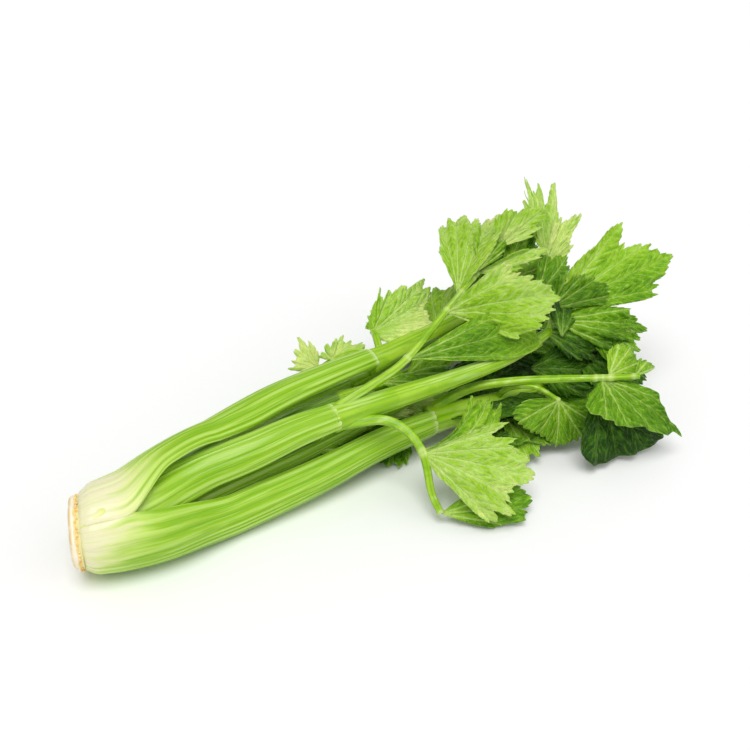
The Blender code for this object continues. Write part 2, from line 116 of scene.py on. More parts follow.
# A stalk's foot is a sector of the bulb: facing and half angle. Past the bulb it follows its own
# route of section centres (x, y, z), with its own facing, half angle, radius and depth.
STALKS = {
    "bottom": {
        "ring": "outer", "foot": (-28, 71.5), "free": (-12, 83), "radius": (17.5, 12.0), "depth": (8.5, 17),
        "route": ((46, -16, 15.2), (110, -20, 20.0), (150, -21, 24.0), (192, -24, 25.4)),
    },
    "top": {
        "ring": "outer", "foot": (107, 61.5), "free": (108, 86), "radius": (15.0, 11.0), "depth": (8.0, 15),
        "route": ((46, 0, 54), (90, 3, 60), (130, 6, 60.3), (170, 8.7, 59)), "open": 27,
    },
    "back": {
        "ring": "outer", "foot": (214.5, 44), "free": (220, 78), "radius": (15.5, 10.5), "depth": (8.0, 15),
        "route": ((46, 10, 17), (110, 14, 16.5), (150, 17, 17), (186, 20, 19)),
    },
    "front": {
        "ring": "middle", "foot": (56, 44), "free": (47, 76), "radius": (13.0, 9.6), "depth": (8.0, 15),
        "route": ((8, -1.5, 39), (40, -10.5, 45.5), (62, -16, 50), (90, -20, 55), (119, -24, 57.5)),
    },
    "inner_front": {
        "ring": "middle", "foot": (-75, 57.5), "free": (-20, 78), "radius": (8.5, 6.5), "depth": (6.5, 10.5),
        "route": ((20, -7, 23), (62, -10, 27.5), (100, -12, 30.5), (150, -12, 35)),
    },
    "inner_back": {
        "ring": "middle", "foot": (165, 57.5), "free": (165, 78), "radius": (9.0, 7.0), "depth": (6.5, 11),
        "route": ((20, 8, 34), (62, 10, 38), (110, 12, 40), (160, 14, 41)),
    },
    "heart_top": {
        "ring": "heart", "foot": (90, 52), "free": (90, 85), "radius": (4.6, 3.8), "depth": (4.6, 6.2),
        "route": ((20, -1, 39), (62, -1, 44.5), (100, 0, 49), (140, 0, 50)),
    },
    "heart_low": {
        "ring": "heart", "foot": (214, 48), "free": (225, 85), "radius": (4.4, 3.6), "depth": (4.4, 6),
        "route": ((20, 3, 24), (62, 3, 24), (100, 1, 24), (130, 0, 25)),
    },
    "heart_mid": {
        "ring": "heart", "foot": (-32, 50), "free": (-30, 85), "radius": (3.6, 3.0), "depth": (3.8, 5),
        "route": ((20, -3, 31), (62, -1, 33), (90, 0, 35), (118, 1, 36)),
    },
}
# Where a stalk's edges draw back from its neighbour: they start to, are back, start to return, are returned.
OPEN_X = (-23, 14, 26, 80)
OPEN_TURN = 0.45

LEAF_STEM_HALF = 112
LEAF_STEM_DEPTH = 1.72
LEAF_STEM_RIBS = 5
LEAF_STEM_RIB_HEIGHT = 0.45
print("stalks:", ", ".join(STALKS))

# %% [markdown]
# The leafy tops. Past its joint each stalk goes on as a leaf stem, with thin side stems and leaflets.
# A leaflet is a fan: rays run out from its base, and the outline says how far each ray reaches.
# That gives the wedge-shaped foot and the lobed, toothed end of a celery leaflet from a few pairs of numbers.

# %% Numbers of the leafy tops
# Half of a leaflet's toothed outline: share of its half spread, share of its length.
OUTLINES = {
    "broad": ((0, 1), (0.13, 0.89), (0.24, 0.95), (0.37, 0.79), (0.49, 0.87), (0.61, 0.73),
              (0.74, 0.76), (0.87, 0.60), (1, 0.48)),
    "ovate": ((0, 1), (0.16, 0.87), (0.30, 0.92), (0.44, 0.79), (0.57, 0.83), (0.71, 0.66),
              (0.85, 0.66), (1, 0.42)),
    "lobed": ((0, 1), (0.12, 0.82), (0.22, 0.86), (0.36, 0.54), (0.50, 0.86), (0.63, 0.70),
              (0.76, 0.74), (0.88, 0.56), (1, 0.42)),
    "plain": ((0, 1), (0.20, 0.90), (0.40, 0.92), (0.60, 0.76), (0.80, 0.72), (1, 0.45)),
    "drawn": ((0, 1), (0.10, 0.74), (0.30, 0.62), (0.55, 0.60), (0.80, 0.52), (1, 0.44)),
    "blunt": ((0, 1), (0.35, 0.99), (0.70, 0.94), (1, 0.80)),
}
# Most leaflets in full view have outlines of their own, by stalk and place in its list. Each is: the
# directions of its main veins, how far its axis bends on the way out, and the rim as (direction, share of
# its length).
# Directions are degrees to the left (+) or right (-) of the line from base to tip, as the camera sees them.
RIMS = {
    "front_0": ((-26, -9, 3, 20), 0, (
        (-30, 0.30), (-31, 0.66), (-24, 0.68), (-17, 0.85), (-13.6, 0.81), (-11, 0.90), (-8.4, 0.86),
        (-5.8, 0.95), (-3, 0.91), (0, 1.01), (4.5, 0.93), (6.4, 0.95), (8.5, 0.85), (10.4, 0.90),
        (12.5, 0.77), (15.2, 0.83), (18, 0.68), (20, 0.73), (23, 0.63), (26, 0.70), (31, 0.66),
        (34, 0.57), (36, 0.2))),
    "front_1": ((-24, -10, 6, 20), 0, (
        (-54, 0.12), (-50, 0.45), (-40, 0.85), (-24, 1.13), (-21.5, 0.98), (-18.4, 1.04), (-15.9, 0.82),
        (-12, 0.98), (-7.5, 0.80), (0, 1.0), (5, 0.90), (9, 0.85), (13.4, 0.95), (16, 0.78), (19, 0.88),
        (24.6, 0.80), (27, 0.66), (29.6, 0.61), (34, 0.50), (42, 0.45), (43, 0.30), (44, 0.18))),
    "front_2": ((-12, 4, 26), 0, (
        (-22, 0.18), (-21.5, 0.45), (-19, 0.61), (-15, 0.52), (-11.8, 0.79), (-7, 0.66), (0, 1.0),
        (7.4, 0.88), (12, 0.80), (18, 0.76), (24, 0.64), (31, 0.60), (45, 0.56), (62, 0.42), (74, 0.22))),
    "front_3": ((-8, 2), 0, (
        (-31, 0.28), (-24, 0.46), (-18, 0.50), (-12.3, 0.66), (-10, 0.60), (-7.5, 0.86), (-5.5, 0.79),
        (-3.5, 0.94), (0, 1.0), (2, 0.84), (6.5, 0.63), (9, 0.34), (9.5, 0.1))),
    "front_4": ((-5, 8, 20), 0, (
        (-12, 0.1), (-10.4, 0.31), (-8.5, 0.5), (-7.5, 0.67), (-3.8, 0.86), (0, 1.0), (8, 0.92),
        (16, 0.86), (24, 0.7), (27, 0.5), (28, 0.1))),
    "front_5": ((-36, -17, -2, 13, 27), 0, (
        (-50, 0.2), (-43, 0.4), (-41.5, 0.65), (-38.5, 0.81), (-32.8, 0.88), (-31.1, 0.76), (-28.5, 0.90),
        (-25, 0.96), (-22, 0.78), (-20.5, 0.88), (-17, 0.81), (-13.6, 0.85), (-10.5, 0.82), (-7.7, 0.92),
        (-2.5, 1.0), (1.4, 0.99), (2.8, 0.87), (4.6, 0.93), (8.4, 0.90), (14.9, 0.72), (18.2, 0.82),
        (22, 0.60), (25, 0.60), (29.4, 0.78), (33, 0.6), (34.5, 0.15))),
    "front_6": ((-20, -6, 8), 0, (
        (-29, 0.15), (-28, 0.42), (-25.7, 0.55), (-18, 0.70), (-16, 0.83), (-13, 0.89), (-11, 0.85),
        (-9, 0.92), (-6.5, 0.86), (-4, 0.94), (0, 0.98), (7.8, 0.90), (20, 0.7), (27, 0.45), (28, 0.1))),
    "front_7": ((-12, 2, 15), 35, (
        (-17.5, 0.15), (-17, 0.98), (-16, 1.09), (-14, 1.17), (-9, 0.98), (-5, 1.05), (-3, 0.90),
        (0, 1.02), (5, 0.85), (7.8, 0.93), (12, 0.80), (19, 0.87), (20.5, 0.7), (21, 0.15))),
    "front_8": ((-14, 0, 11, 28), 0, (
        (-23, 0.15), (-22.5, 0.37), (-20.5, 0.53), (-19.5, 0.67), (-17, 0.78), (-14, 0.73), (-11.6, 0.83),
        (-9.6, 0.75), (-8, 0.86), (-3.3, 0.92), (0, 1.0), (4, 0.88), (5.5, 0.92), (7, 0.82), (9.8, 0.89),
        (11, 0.79), (12.7, 0.82), (16.7, 0.68), (18.5, 0.74), (20.5, 0.66), (23, 0.72), (28, 0.81),
        (32, 0.70), (33, 0.54), (37.5, 0.46), (42, 0.36), (48, 0.2))),
    "front_9": ((-10, 10, 23, 40), 0, (
        (-20, 0.2), (-18.5, 0.88), (-10, 0.95), (0, 1.0), (8, 0.84), (13, 0.88), (18, 0.72), (23, 0.79),
        (28, 0.60), (36, 0.69), (45, 0.57), (52, 0.57), (62, 0.35), (67, 0.15))),
    "front_10": ((-22, -8, 2, 12), 0, (
        (-28, 0.2), (-27, 0.63), (-23, 0.68), (-20.5, 0.74), (-16.5, 0.58), (-13, 0.76), (-10, 0.85),
        (-8.5, 0.79), (-7, 0.89), (-4, 0.86), (-2.9, 0.93), (0, 1.0), (2.9, 0.94), (4.5, 0.84),
        (6.2, 0.88), (9.5, 0.75), (12.5, 0.80), (14.5, 0.70), (20, 0.5), (33, 0.27), (36, 0.1))),
    "front_11": ((-14, 0, 16), 0, (
        (-26, 0.15), (-22, 0.42), (-20, 0.62), (-17, 0.60), (-13, 0.76), (-8, 0.73), (-2, 0.93),
        (4, 0.83), (8, 0.90), (15, 0.96), (24, 0.92), (30, 0.88), (36, 0.5), (38, 0.15))),
    "front_12": ((-12, 8), 0, (
        (-26, 0.2), (-24, 0.6), (-16, 0.85), (-11, 0.78), (-5, 0.95), (0, 1.0), (5, 0.88), (9, 0.93),
        (13, 0.76), (18, 0.80), (24, 0.5), (26, 0.2))),
    "front_14": ((-16, 0, 16), 0, (
        (-40, 0.2), (-34, 0.62), (-24, 0.86), (-19, 0.74), (-10, 0.98), (-5, 0.84), (0, 1.0), (6, 0.84),
        (12, 0.95), (18, 0.72), (26, 0.8), (32, 0.3))),
    "top_0": ((-8, 6, 34), 0, (
        (-92, 0.15), (-86, 0.30), (-66, 0.50), (-50, 0.72), (-40, 0.84), (-24, 0.85), (-14.8, 0.82),
        (-8, 0.99), (-4, 1.1), (0.9, 1.16), (3, 0.97), (5.3, 1.08), (8.1, 1.22), (14.5, 0.76), (22, 0.8),
        (28, 0.62), (36, 0.66), (40, 0.45), (46, 0.50), (52, 0.64), (58, 0.42), (66, 0.3), (78, 0.25),
        (100, 0.16), (112, 0.12))),
    "top_1": ((-6, 20, 45), 0, (
        (-32, 0.3), (-24, 0.50), (-12, 0.72), (-8, 0.55), (-4, 0.8), (0, 0.94), (8, 0.72), (15, 0.66),
        (21, 0.78), (32, 0.56), (42, 0.68), (52, 0.55), (60, 0.80), (66, 0.3))),
    "top_2": ((-35, 0, 40), 0, (
        (-80, 0.3), (-70, 0.9), (-57, 1.05), (-44, 1.08), (-38, 0.75), (-26, 0.8), (-15, 0.62),
        (-4, 0.90), (4, 0.6), (12, 0.68), (27, 0.45), (50, 0.58), (66, 0.36), (84, 0.5), (98, 0.5),
        (106, 0.2))),
    "top_3": ((-16, -2, 8), 0, (
        (-30, 0.1), (-29, 0.24), (-24, 0.46), (-20, 0.55), (-18, 0.70), (-15, 0.80), (-12, 0.82),
        (-10.5, 0.72), (-9, 0.60), (-7, 0.60), (-5.6, 0.78), (-4, 0.92), (-2.5, 0.78), (-0.5, 0.84),
        (1.2, 0.76), (3.6, 1.0), (5, 0.77), (7.1, 0.99), (8.4, 0.78), (9.6, 0.66), (12, 0.82), (13, 0.60),
        (16.6, 0.74), (18, 0.5), (24, 0.42), (27, 0.2))),
    "top_4": ((-30, 0, 16), 0, (
        (-56, 0.12), (-49, 0.24), (-42, 0.37), (-36, 0.46), (-30, 0.55), (-22, 0.50), (-13, 0.72),
        (-11, 1.04), (-8.5, 1.10), (-5.6, 0.96), (-3.8, 1.03), (-1, 0.90), (6, 0.80), (10, 0.88),
        (14, 0.70), (18.5, 0.80), (20, 0.4), (21, 0.1))),
    "bottom_0": ((-60, -30, 0, 35, 60), 0, (
        (-96, 0.25), (-88, 0.72), (-76, 0.93), (-68, 1.03), (-54, 0.97), (-35, 0.84), (-18, 0.84),
        (0, 0.98), (11, 0.92), (20, 0.89), (28, 0.93), (40, 0.83), (55, 0.87), (68, 0.55), (78, 0.3))),
    "bottom_1": ((-60, -35, -14, 0, 10), 0, (
        (-98, 0.2), (-90, 0.38), (-70, 0.42), (-50, 0.48), (-30, 0.58), (-18.5, 0.66), (-12, 0.78),
        (-7.5, 0.86), (-2.5, 0.87), (-1, 1.0), (0, 0.98), (1, 0.78), (3.5, 0.66), (9, 0.59), (15.5, 0.53),
        (19, 0.35), (24, 0.2))),
    "bottom_2": ((-14, 5, 24), 0, (
        (-32, 0.3), (-29, 0.75), (-24, 0.88), (-19, 0.96), (-14, 1.02), (-8, 0.99), (7, 0.94), (21, 0.98),
        (33, 1.0), (40, 1.05), (44, 0.7), (46, 0.3))),
    "bottom_3": ((0, 30), 0, (
        (-12, 0.35), (0, 1.0), (12, 0.84), (31, 0.8), (48, 0.72), (59, 0.77), (66, 0.4))),
    "bottom_4": ((-30, 0, 20), 0, (
        (-52, 0.3), (-49, 0.88), (-29, 0.9), (-11, 0.95), (0, 1.0), (15, 0.95), (30, 0.8), (50, 0.5))),
    "bottom_6": ((-12, 0, 17), 0, (
        (-30, 0.3), (-20, 0.8), (-12, 0.97), (-8, 0.86), (-2, 1.0), (4, 0.86), (10, 0.92), (16.5, 0.98),
        (20, 0.88), (24.5, 0.95), (27, 0.7), (34, 0.45), (50, 0.3))),
}
# Leaflets with a rim of their own and no small teeth on it.
SMOOTH_RIMS = ("bottom_1", "bottom_2", "front_4")
REACH_CHANGE = (0.94, 1.06)
WAVE_HEIGHT = 0.03
WAVE_RATE = 7
LOWEST_BLADE = 0.4

UP = (0, 0, 1)
FRONT = (-0.2, -0.7, 0.7)
BACK = (0.1, 0.6, 0.8)

# A leaflet is: base, tip, the way its upper face looks, outline, half spread, arch,
# fold, and its tone from dark (0) to pale (1). The tone is the leaflet's own lightness of green, and for
# leaflets that lie in shadow it is set low as painted shade.
FRONDS = {
    "front": {
        "stem": ((119, -24, 57.5), (160, -29, 58), (205, -35, 59), (250, -38, 61), (290, -34, 66)),
        "radius": (8.6, 3.2),
        "branches": (
            (((122, -22, 66), (146, -22, 68.5), (177, -17, 73), (218, -2, 84), (263, 18, 92), (289, 27, 99)),
             3.4, 1.8),
            (((121, -30, 52), (143, -38, 54), (153, -51, 50), (156, -66, 39), (153, -79, 19), (153, -89, 9)),
             3.8, 2.2),
            (((284, -34, 65), (288, -31, 72), (289, -28, 79)), 2.2, 1.6),
        ),
        "leaves": (
            ((222, 0, 84), (283, -43, 95), FRONT, "broad", 34, 0.05, 6, 0.84),
            ((240, 10, 88), (295, 74, 99), UP, "broad", 33, 0.08, 12, 0.80),
            ((286, 27, 99), (333, 28, 113), FRONT, "ovate", 36, 0.05, 12, 0.84),
            ((262, 17, 92), (317, 7, 100), FRONT, "ovate", 22, 0.05, 12, 0.74),
            ((180, -17, 73), (272, -43, 63), FRONT, "broad", 28, 0.06, 4, 0.47),
            ((156, -66, 39), (212, -108, 26), FRONT, "lobed", 54, 0.10, 0, 0.76),
            ((153, -89, 9), (208, -113, 11), FRONT, "broad", 34, 0.06, 0, 0.50),
            ((157, -65, 41), (219, -51, 46), FRONT, "broad", 20, 0.06, 0, 0.46),
            ((289, -29, 76), (379, -48, 98), FRONT, "broad", 36, 0.08, 8, 0.69),
            ((288, -29, 78), (324, -44, 92), FRONT, "broad", 32, 0.04, 4, 0.38),
            ((287, -33, 71), (343, -68, 62), FRONT, "broad", 31, 0.08, 6, 0.54),
            ((280, -33, 66), (303, -65, 50), FRONT, "broad", 38, 0.05, 0, 0.20),
        ),
    },
    "top": {
        "stem": ((170, 8.7, 59), (210, 12, 60), (250, 14, 63), (295, 14, 72), (325, 14, 82)),
        "radius": (9.2, 3.0),
        "branches": (
            (((180, 12, 66), (182, 22, 68), (186, 31, 66)), 3.0, 2.0),
            (((180, 16, 60), (172, 32, 55), (160, 43, 46), (150, 45, 41)), 2.6, 1.6),
        ),
        "leaves": (
            ((186, 31, 66), (237, 44, 72), FRONT, "lobed", 46, 0.08, 10, 0.82),
            ((151, 45, 41), (147, 66, 60), FRONT, "lobed", 50, 0.06, 10, 1.12),
            ((161, 42, 47), (175, 52, 60), FRONT, "ovate", 48, 0.06, 10, 1.08),
            ((322, 14, 81), (352, 71, 117), FRONT, "lobed", 24, 0.06, 20, 0.84),
            ((320, 14, 80), (354, 28, 104), FRONT, "ovate", 20, 0.06, 20, 0.90),
            ((295, 14, 72), (332, 64, 88), BACK, "broad", 36, 0.08, 10, 0.30),
        ),
    },
    "bottom": {
        "stem": ((192, -24, 25.4), (230, -33, 26), (280, -41, 27), (325, -44, 32)),
        "radius": (10.6, 3.0),
        "branches": (
            (((197, -26, 38), (219, -32, 43), (242, -47, 48), (266, -67, 52), (286, -85, 55), (306, -98, 56)),
             4.0, 1.8),
            (((243, -48, 48), (252, -58, 46), (263, -71, 38)), 2.2, 1.6),
        ),
        "leaves": (
            ((262, -71, 39), (256, -79, 8), FRONT, "broad", 70, 0.06, 0, 0.36),
            ((286, -85, 54), (325, -126, 16), (0.1, -0.7, 0.7), "drawn", 46, 0.06, 10, 0.42),
            # The low tone of the next leaflet is painted shade on its folded, shadowed lower part.
            ((283, -83, 53), (278, -109, 4), (-0.1, -0.8, 0.5), "blunt", 44, 0.06, 0, 0.10),
            ((303, -96, 56), (328, -91, 50), FRONT, "ovate", 40, 0.06, 0, 0.55),
            ((290, -86, 56), (318, -76, 62), FRONT, "ovate", 50, 0.06, 0, 0.66),
            ((291, -88, 52), (310, -97, 42), FRONT, "ovate", 30, 0.06, 0, 0.28),
            ((240, -38, 24), (242, -81, 7), FRONT, "broad", 52, 0.06, 0, 0.40),
            ((268, -40, 26), (288, -84, 16), FRONT, "ovate", 50, 0.06, 0, 0.34),
            ((321, -44, 32), (344, -72, 22), UP, "broad", 64, 0.08, 0, 0.24),
        ),
    },
    "back": {
        "stem": ((186, 20, 19), (230, 28, 20), (280, 36, 24), (325, 40, 34)),
        "radius": (9.6, 3.0),
        "branches": (
            (((196, 18, 10), (190, 6, 6), (184, -2, 4)), 2.4, 1.8),
        ),
        "leaves": (
            ((184, -2, 4), (156, -28, 2), UP, "ovate", 38, 0.02, 0, 0.22),
            ((225, 30, 22), (252, 76, -3), UP, "plain", 46, 0.12, 0, 0.18),
            ((265, 36, 24), (300, 84, -4), UP, "plain", 46, 0.12, 0, 0.18),
            ((298, 40, 28), (350, 80, 20), UP, "plain", 46, 0.12, 0, 0.18),
            ((322, 40, 33), (368, 50, 26), UP, "plain", 46, 0.12, 0, 0.20),
            ((280, 34, 22), (323, -41, 6), UP, "plain", 46, 0.06, 0, 0.12),
        ),
    },
    "inner_front": {
        "stem": ((150, -12, 35), (200, -11, 39), (250, -8, 43), (300, -6, 46)),
        "radius": (6.2, 2.4),
        "branches": (),
        "leaves": (
            ((297, -6, 46), (346, -18, 54), UP, "plain", 46, 0.08, 0, 0.25),
            ((262, -8, 44), (300, -28, 44), UP, "plain", 40, 0.08, 0, 0.25),
            ((280, -6, 45), (317, 20, 48), UP, "plain", 42, 0.08, 0, 0.25),
        ),
    },
    "inner_back": {
        "stem": ((160, 14, 41), (210, 21, 43), (260, 28, 48), (305, 34, 54)),
        "radius": (6.6, 2.4),
        "branches": (),
        "leaves": (
            ((240, 26, 45), (280, 66, 54), BACK, "plain", 32, 0.08, 0, 0.72),
            ((285, 32, 51), (330, 68, 50), BACK, "plain", 40, 0.08, 0, 0.20),
            ((302, 34, 54), (352, 44, 64), UP, "plain", 44, 0.08, 0, 0.36),
        ),
    },
    "heart_top": {
        "stem": ((140, 0, 50), (165, -2, 50), (188, -6, 50)),
        "radius": (3.6, 2.0),
        "branches": (),
        "leaves": (
            # Both leaflets have a low tone as painted shade, for the dark gap between the front stalk and its
            # leaf stem.
            ((168, -2, 50), (196, -22, 47), UP, "ovate", 40, 0.12, 0, 0.34),
            ((186, -6, 50), (218, -14, 51), UP, "lobed", 50, 0.12, 0, 0.30),
        ),
    },
    "heart_low": {
        "stem": ((130, 0, 25), (152, -2, 26), (172, -4, 27)),
        "radius": (3.4, 2.0),
        "branches": (),
        "leaves": (
            ((170, -4, 27), (204, -8, 26), UP, "lobed", 40, 0.12, 0, 0.85),
        ),
    },
    "heart_mid": {
        "stem": ((118, 1, 36), (140, 3, 34), (158, 5, 32)),
        "radius": (2.8, 1.8),
        "branches": (),
        "leaves": (
            ((156, 5, 32), (182, 5, 31), UP, "lobed", 30, 0.10, 0, 0.85),
        ),
    },
}
# More leaflets fill the gaps of the leafy top, listed like those of the stalk they grow on. The darkest of
# them, of tone 0.16 and below, are dark sheets for painted shade in the deep gaps between stalks and leaves.
GAP_LEAVES_AND_SHADE_SHEETS = {
    "front": (
        ((257, 16, 92), (308, 54, 103), FRONT, "broad", 24, 0.05, 0, 0.74),
        ((278, 13, 79), (330, 32, 86), FRONT, "broad", 34, 0.08, 0, 0.52),
        ((309, -39, 62), (326, -79, 56), FRONT, "broad", 30, 0.08, 0, 0.58),
        ((262, 14, 78), (300, 40, 84), FRONT, "ovate", 44, 0.08, 0, 0.40),
        ((258, 13, 97), (293, 26, 105), FRONT, "ovate", 16, 0.05, 0, 0.46),
        ((293, -8, 74), (332, 6, 86), FRONT, "broad", 36, 0.08, 0, 0.34),
        ((284, -46, 66), (303, -25, 86), FRONT, "ovate", 34, 0.05, 0, 0.22),
        ((205, -19, 52), (264, -29, 54), UP, "plain", 14, 0.03, 0, 0.10)),
    "bottom": (
        ((298, -46, 48), (314, -82, 42), FRONT, "broad", 44, 0.08, 0, 0.16),
        ((268, -36, 42), (308, -66, 40), FRONT, "ovate", 46, 0.08, 0, 0.10),
        ((190, -23, 22), (270, -50, 24), UP, "plain", 30, 0.08, 0, 0.16),
        ((200, -10, 14), (300, -42, 16), UP, "plain", 34, 0.08, 0, 0.14),
        ((208, -50, 12), (262, -66, 13), UP, "ovate", 30, 0.06, 0, 0.20),
        ((186, -9, 29), (212, -19, 35), FRONT, "lobed", 40, 0.12, 0, 0.42),
        ((140, -12, 22), (205, -20, 22), UP, "plain", 26, 0.08, 0, 0.12)),
    "heart_low": (
        ((95, 2, 16), (168, -8, 18), UP, "plain", 26, 0.02, 0, 0.10),
        ((104, -14, 31), (136, -15, 31), FRONT, "lobed", 34, 0.14, 0, 0.62),
        ((160, -2, 27), (186, -18, 30), FRONT, "lobed", 40, 0.16, 0, 0.86),
        ((178, -5, 28), (206, -24, 33), FRONT, "lobed", 44, 0.16, 0, 0.80)),
}
for name, more in GAP_LEAVES_AND_SHADE_SHEETS.items():
    FRONDS[name]["leaves"] = (*FRONDS[name]["leaves"], *more)
print("leaflets:", sum(len(frond["leaves"]) for frond in FRONDS.values()))

# %% [markdown]
# Routes. A real stalk bends evenly, where the solid goes in straight steps from one number to the next.
# smooth_keys() reads a value between the numbers of a table on a smooth curve, and smooth_route() draws a
# smooth line through a few points in space.

# %% Smooth values along a table
def smoothstep(t):
    t = np.clip(t, 0.0, 1.0)
    return t * t * (3 - 2 * t)


def smooth_keys(keys, x):
    """The values of the keys (x, values...) at x, on a smooth curve through them."""
    keys = np.array(keys, float)
    places, values = keys[:, 0], keys[:, 1:]
    slopes = np.gradient(values, places, axis=0)
    x = min(max(x, places[0]), places[-1])
    i = min(int(np.searchsorted(places, x, side="right")) - 1, len(places) - 2)
    span = places[i + 1] - places[i]
    t = (x - places[i]) / span
    return ((2 * t ** 3 - 3 * t ** 2 + 1) * values[i] + (t ** 3 - 2 * t ** 2 + t) * span * slopes[i]
            + (3 * t ** 2 - 2 * t ** 3) * values[i + 1] + (t ** 3 - t ** 2) * span * slopes[i + 1])


def smooth_route(points, steps):
    """A smooth line through the points, with this many steps from each to the next."""
    points = np.array(points, float)
    ends = np.vstack((2 * points[0] - points[1], points, 2 * points[-1] - points[-2]))
    line = []
    for a, b, c, d in zip(ends, ends[1:], ends[2:], ends[3:]):
        for i in range(steps):
            t = i / steps
            line.append(0.5 * (2 * b + (c - a) * t + (2 * a - 5 * b + 4 * c - d) * t * t
                               + (3 * b - a - 3 * c + d) * t ** 3))
    return np.array(line + [points[-1]])


print("the bulb's radius at x = 0 is", round(float(smooth_keys(BULB_RADIUS, 0)[0]), 1), "mm")

# %% [markdown]
# One section. A stalk is cut across at many places and each section is a ring of points. The outer face has
# round ribs with narrow grooves between them, as the strings in a stalk make them, and both thin edges of the
# crescent are rounded. The same function makes the section of a leaf stem.

# %% One section of a stalk
RIB_STEPS = 14
INNER_STEPS = 26
EDGE_STEPS = 6
GROOVE_SHARPNESS = 0.7
RIB_SHIFT = 0.34


def spokes(angles):
    angles = np.asarray(angles, float)
    return np.stack((0 * angles, -np.cos(angles), np.sin(angles)), axis=-1)


def section(centre, facing, half, radius, depth, edge, ribs, rib_height, flatness, look=0):
    """Points of one section, and for each point how deep in a groove and how far inside it lies."""
    half = half - 0.5 * edge / radius
    share = np.linspace(-1, 1, 2 * ribs * RIB_STEPS + 1)
    place = (share + 1) / 2
    waves = np.sin(5.3 * place * math.pi + look) + np.sin(3.1 * place * math.pi + 2 * look)
    uneven = np.sin(math.pi * place) * waves
    crest = np.abs(np.sin(math.pi * (ribs * place + RIB_SHIFT * uneven))) ** GROOVE_SHARPNESS
    deep = rib_height * (0.75 + 0.25 * np.sin(7.7 * place * math.pi + 1.7 * look))
    outer = (radius - deep * (1 - crest))[:, None] * spokes(facing + half * share)
    middle = radius - rib_height - (edge - rib_height) / 2
    rim = (edge - rib_height) / 2
    turn = np.linspace(0, math.pi, EDGE_STEPS + 2)[1:-1]

    def rounded(side):
        angle = facing + side * half
        out, along = spokes(angle), side * spokes(angle + math.pi / 2)
        return middle * out + rim * (np.cos(turn)[:, None] * out + np.sin(turn)[:, None] * along)

    inward = np.linspace(0, 1, INNER_STEPS)
    arc = (radius - depth) * spokes(facing + half * (1 - 2 * inward))
    first, last = (radius - edge) * spokes(facing + half), (radius - edge) * spokes(facing - half)
    bow = radius - depth - (radius - edge) * math.cos(half)
    shallow = (first + (last - first) * inward[:, None]
               + (4 * inward * (1 - inward) * bow)[:, None] * spokes(facing))
    inner = arc + (shallow - arc) * flatness
    points = np.concatenate((outer, rounded(1), inner, rounded(-1)[::-1]))
    ease = np.linspace(0.2, 0.8, EDGE_STEPS)
    groove = np.concatenate((1 - crest, np.zeros(len(points) - len(crest))))
    inside = np.concatenate((np.zeros(len(outer)), ease, np.ones(len(inner)), ease[::-1]))
    return centre + points, groove, inside


print("a stalk's section with 9 ribs has", 2 * 9 * RIB_STEPS + 1 + INNER_STEPS + 2 * EDGE_STEPS, "points")

# %% [markdown]
# From sections to a mesh. A loft joins each point to its neighbour in the next section. It also stores what
# the materials need on the surface itself: a UV map in decimetres, u along the stalk and v round it, and
# plain numbers such as how deep in a groove a point lies. Colours then follow the shape, not the camera.

# %% Loft with a UV map and surface values
RING_WIDTH = 2.2


def grid_faces(rows, columns, closed):
    """Quads of a grid of points, turned so that they face out when rows go along and columns go round."""
    row = np.arange(rows - 1)[:, None]
    column = np.arange(columns if closed else columns - 1)[None, :]
    beside = (column + 1) % columns
    quads = np.stack((row * columns + beside, row * columns + column,
                      (row + 1) * columns + column, (row + 1) * columns + beside), axis=-1)
    return quads.reshape(-1, 4)


def mesh_of(name, points, quads, ends=(), uv=None, values=None):
    """A mesh in the frame from points in millimetres, with a UV for each point and named values."""
    faces = [tuple(int(i) for i in quad) for quad in quads] + [tuple(end) for end in ends]
    mesh = bpy.data.meshes.new(name)
    mesh.from_pydata(in_frame(points).tolist(), [], faces)
    mesh.polygons.foreach_set("use_smooth", [True] * len(mesh.polygons))
    if uv is not None:
        layer = mesh.uv_layers.new(name="UVMap")
        corners = np.empty(len(mesh.loops), np.int32)
        mesh.loops.foreach_get("vertex_index", corners)
        layer.data.foreach_set("uv", np.asarray(uv, np.float32)[corners].ravel())
    for key, numbers in (values or {}).items():
        layer = mesh.attributes.new(key, "FLOAT", "POINT")
        layer.data.foreach_set("value", np.asarray(numbers, np.float32))
    return mesh


def outward(mesh):
    """Turns every face of a closed mesh to look out."""
    bm = bmesh.new()
    bm.from_mesh(mesh)
    bmesh.ops.recalc_face_normals(bm, faces=bm.faces)
    bm.to_mesh(mesh)
    bm.free()
    return mesh


def loft(name, sections, ring_at=None):
    """A closed mesh through sections, each (points, groove, inside)."""
    points = np.array([s[0] for s in sections])
    rows, columns = points.shape[:2]
    middle = points.mean(axis=1)
    along = np.concatenate(([0], np.cumsum(np.linalg.norm(np.diff(middle, axis=0), axis=1))))
    steps = np.linalg.norm(np.diff(points, axis=1, append=points[:, :1]), axis=2).mean(axis=0)
    around = np.concatenate(([0], np.cumsum(steps)[:-1]))
    uv = np.stack(np.broadcast_arrays(along[:, None], around[None, :]), axis=-1) / 100
    ring = np.zeros((rows, columns))
    if ring_at is not None:
        ring[:] = np.exp(-((points[:, :, 0] - ring_at) / RING_WIDTH) ** 2)
    values = {"groove": np.concatenate([s[1] for s in sections]),
              "inside": np.concatenate([s[2] for s in sections]), "ring": ring.ravel()}
    last = (rows - 1) * columns
    ends = (range(columns), reversed(range(last, last + columns)))
    mesh = mesh_of(name, points.reshape(-1, 3), grid_faces(rows, columns, True), ends,
                   uv.reshape(-1, 2), values)
    return outward(mesh)


print("a grid of 3 by 4 points has", len(grid_faces(3, 4, False)), "quads")

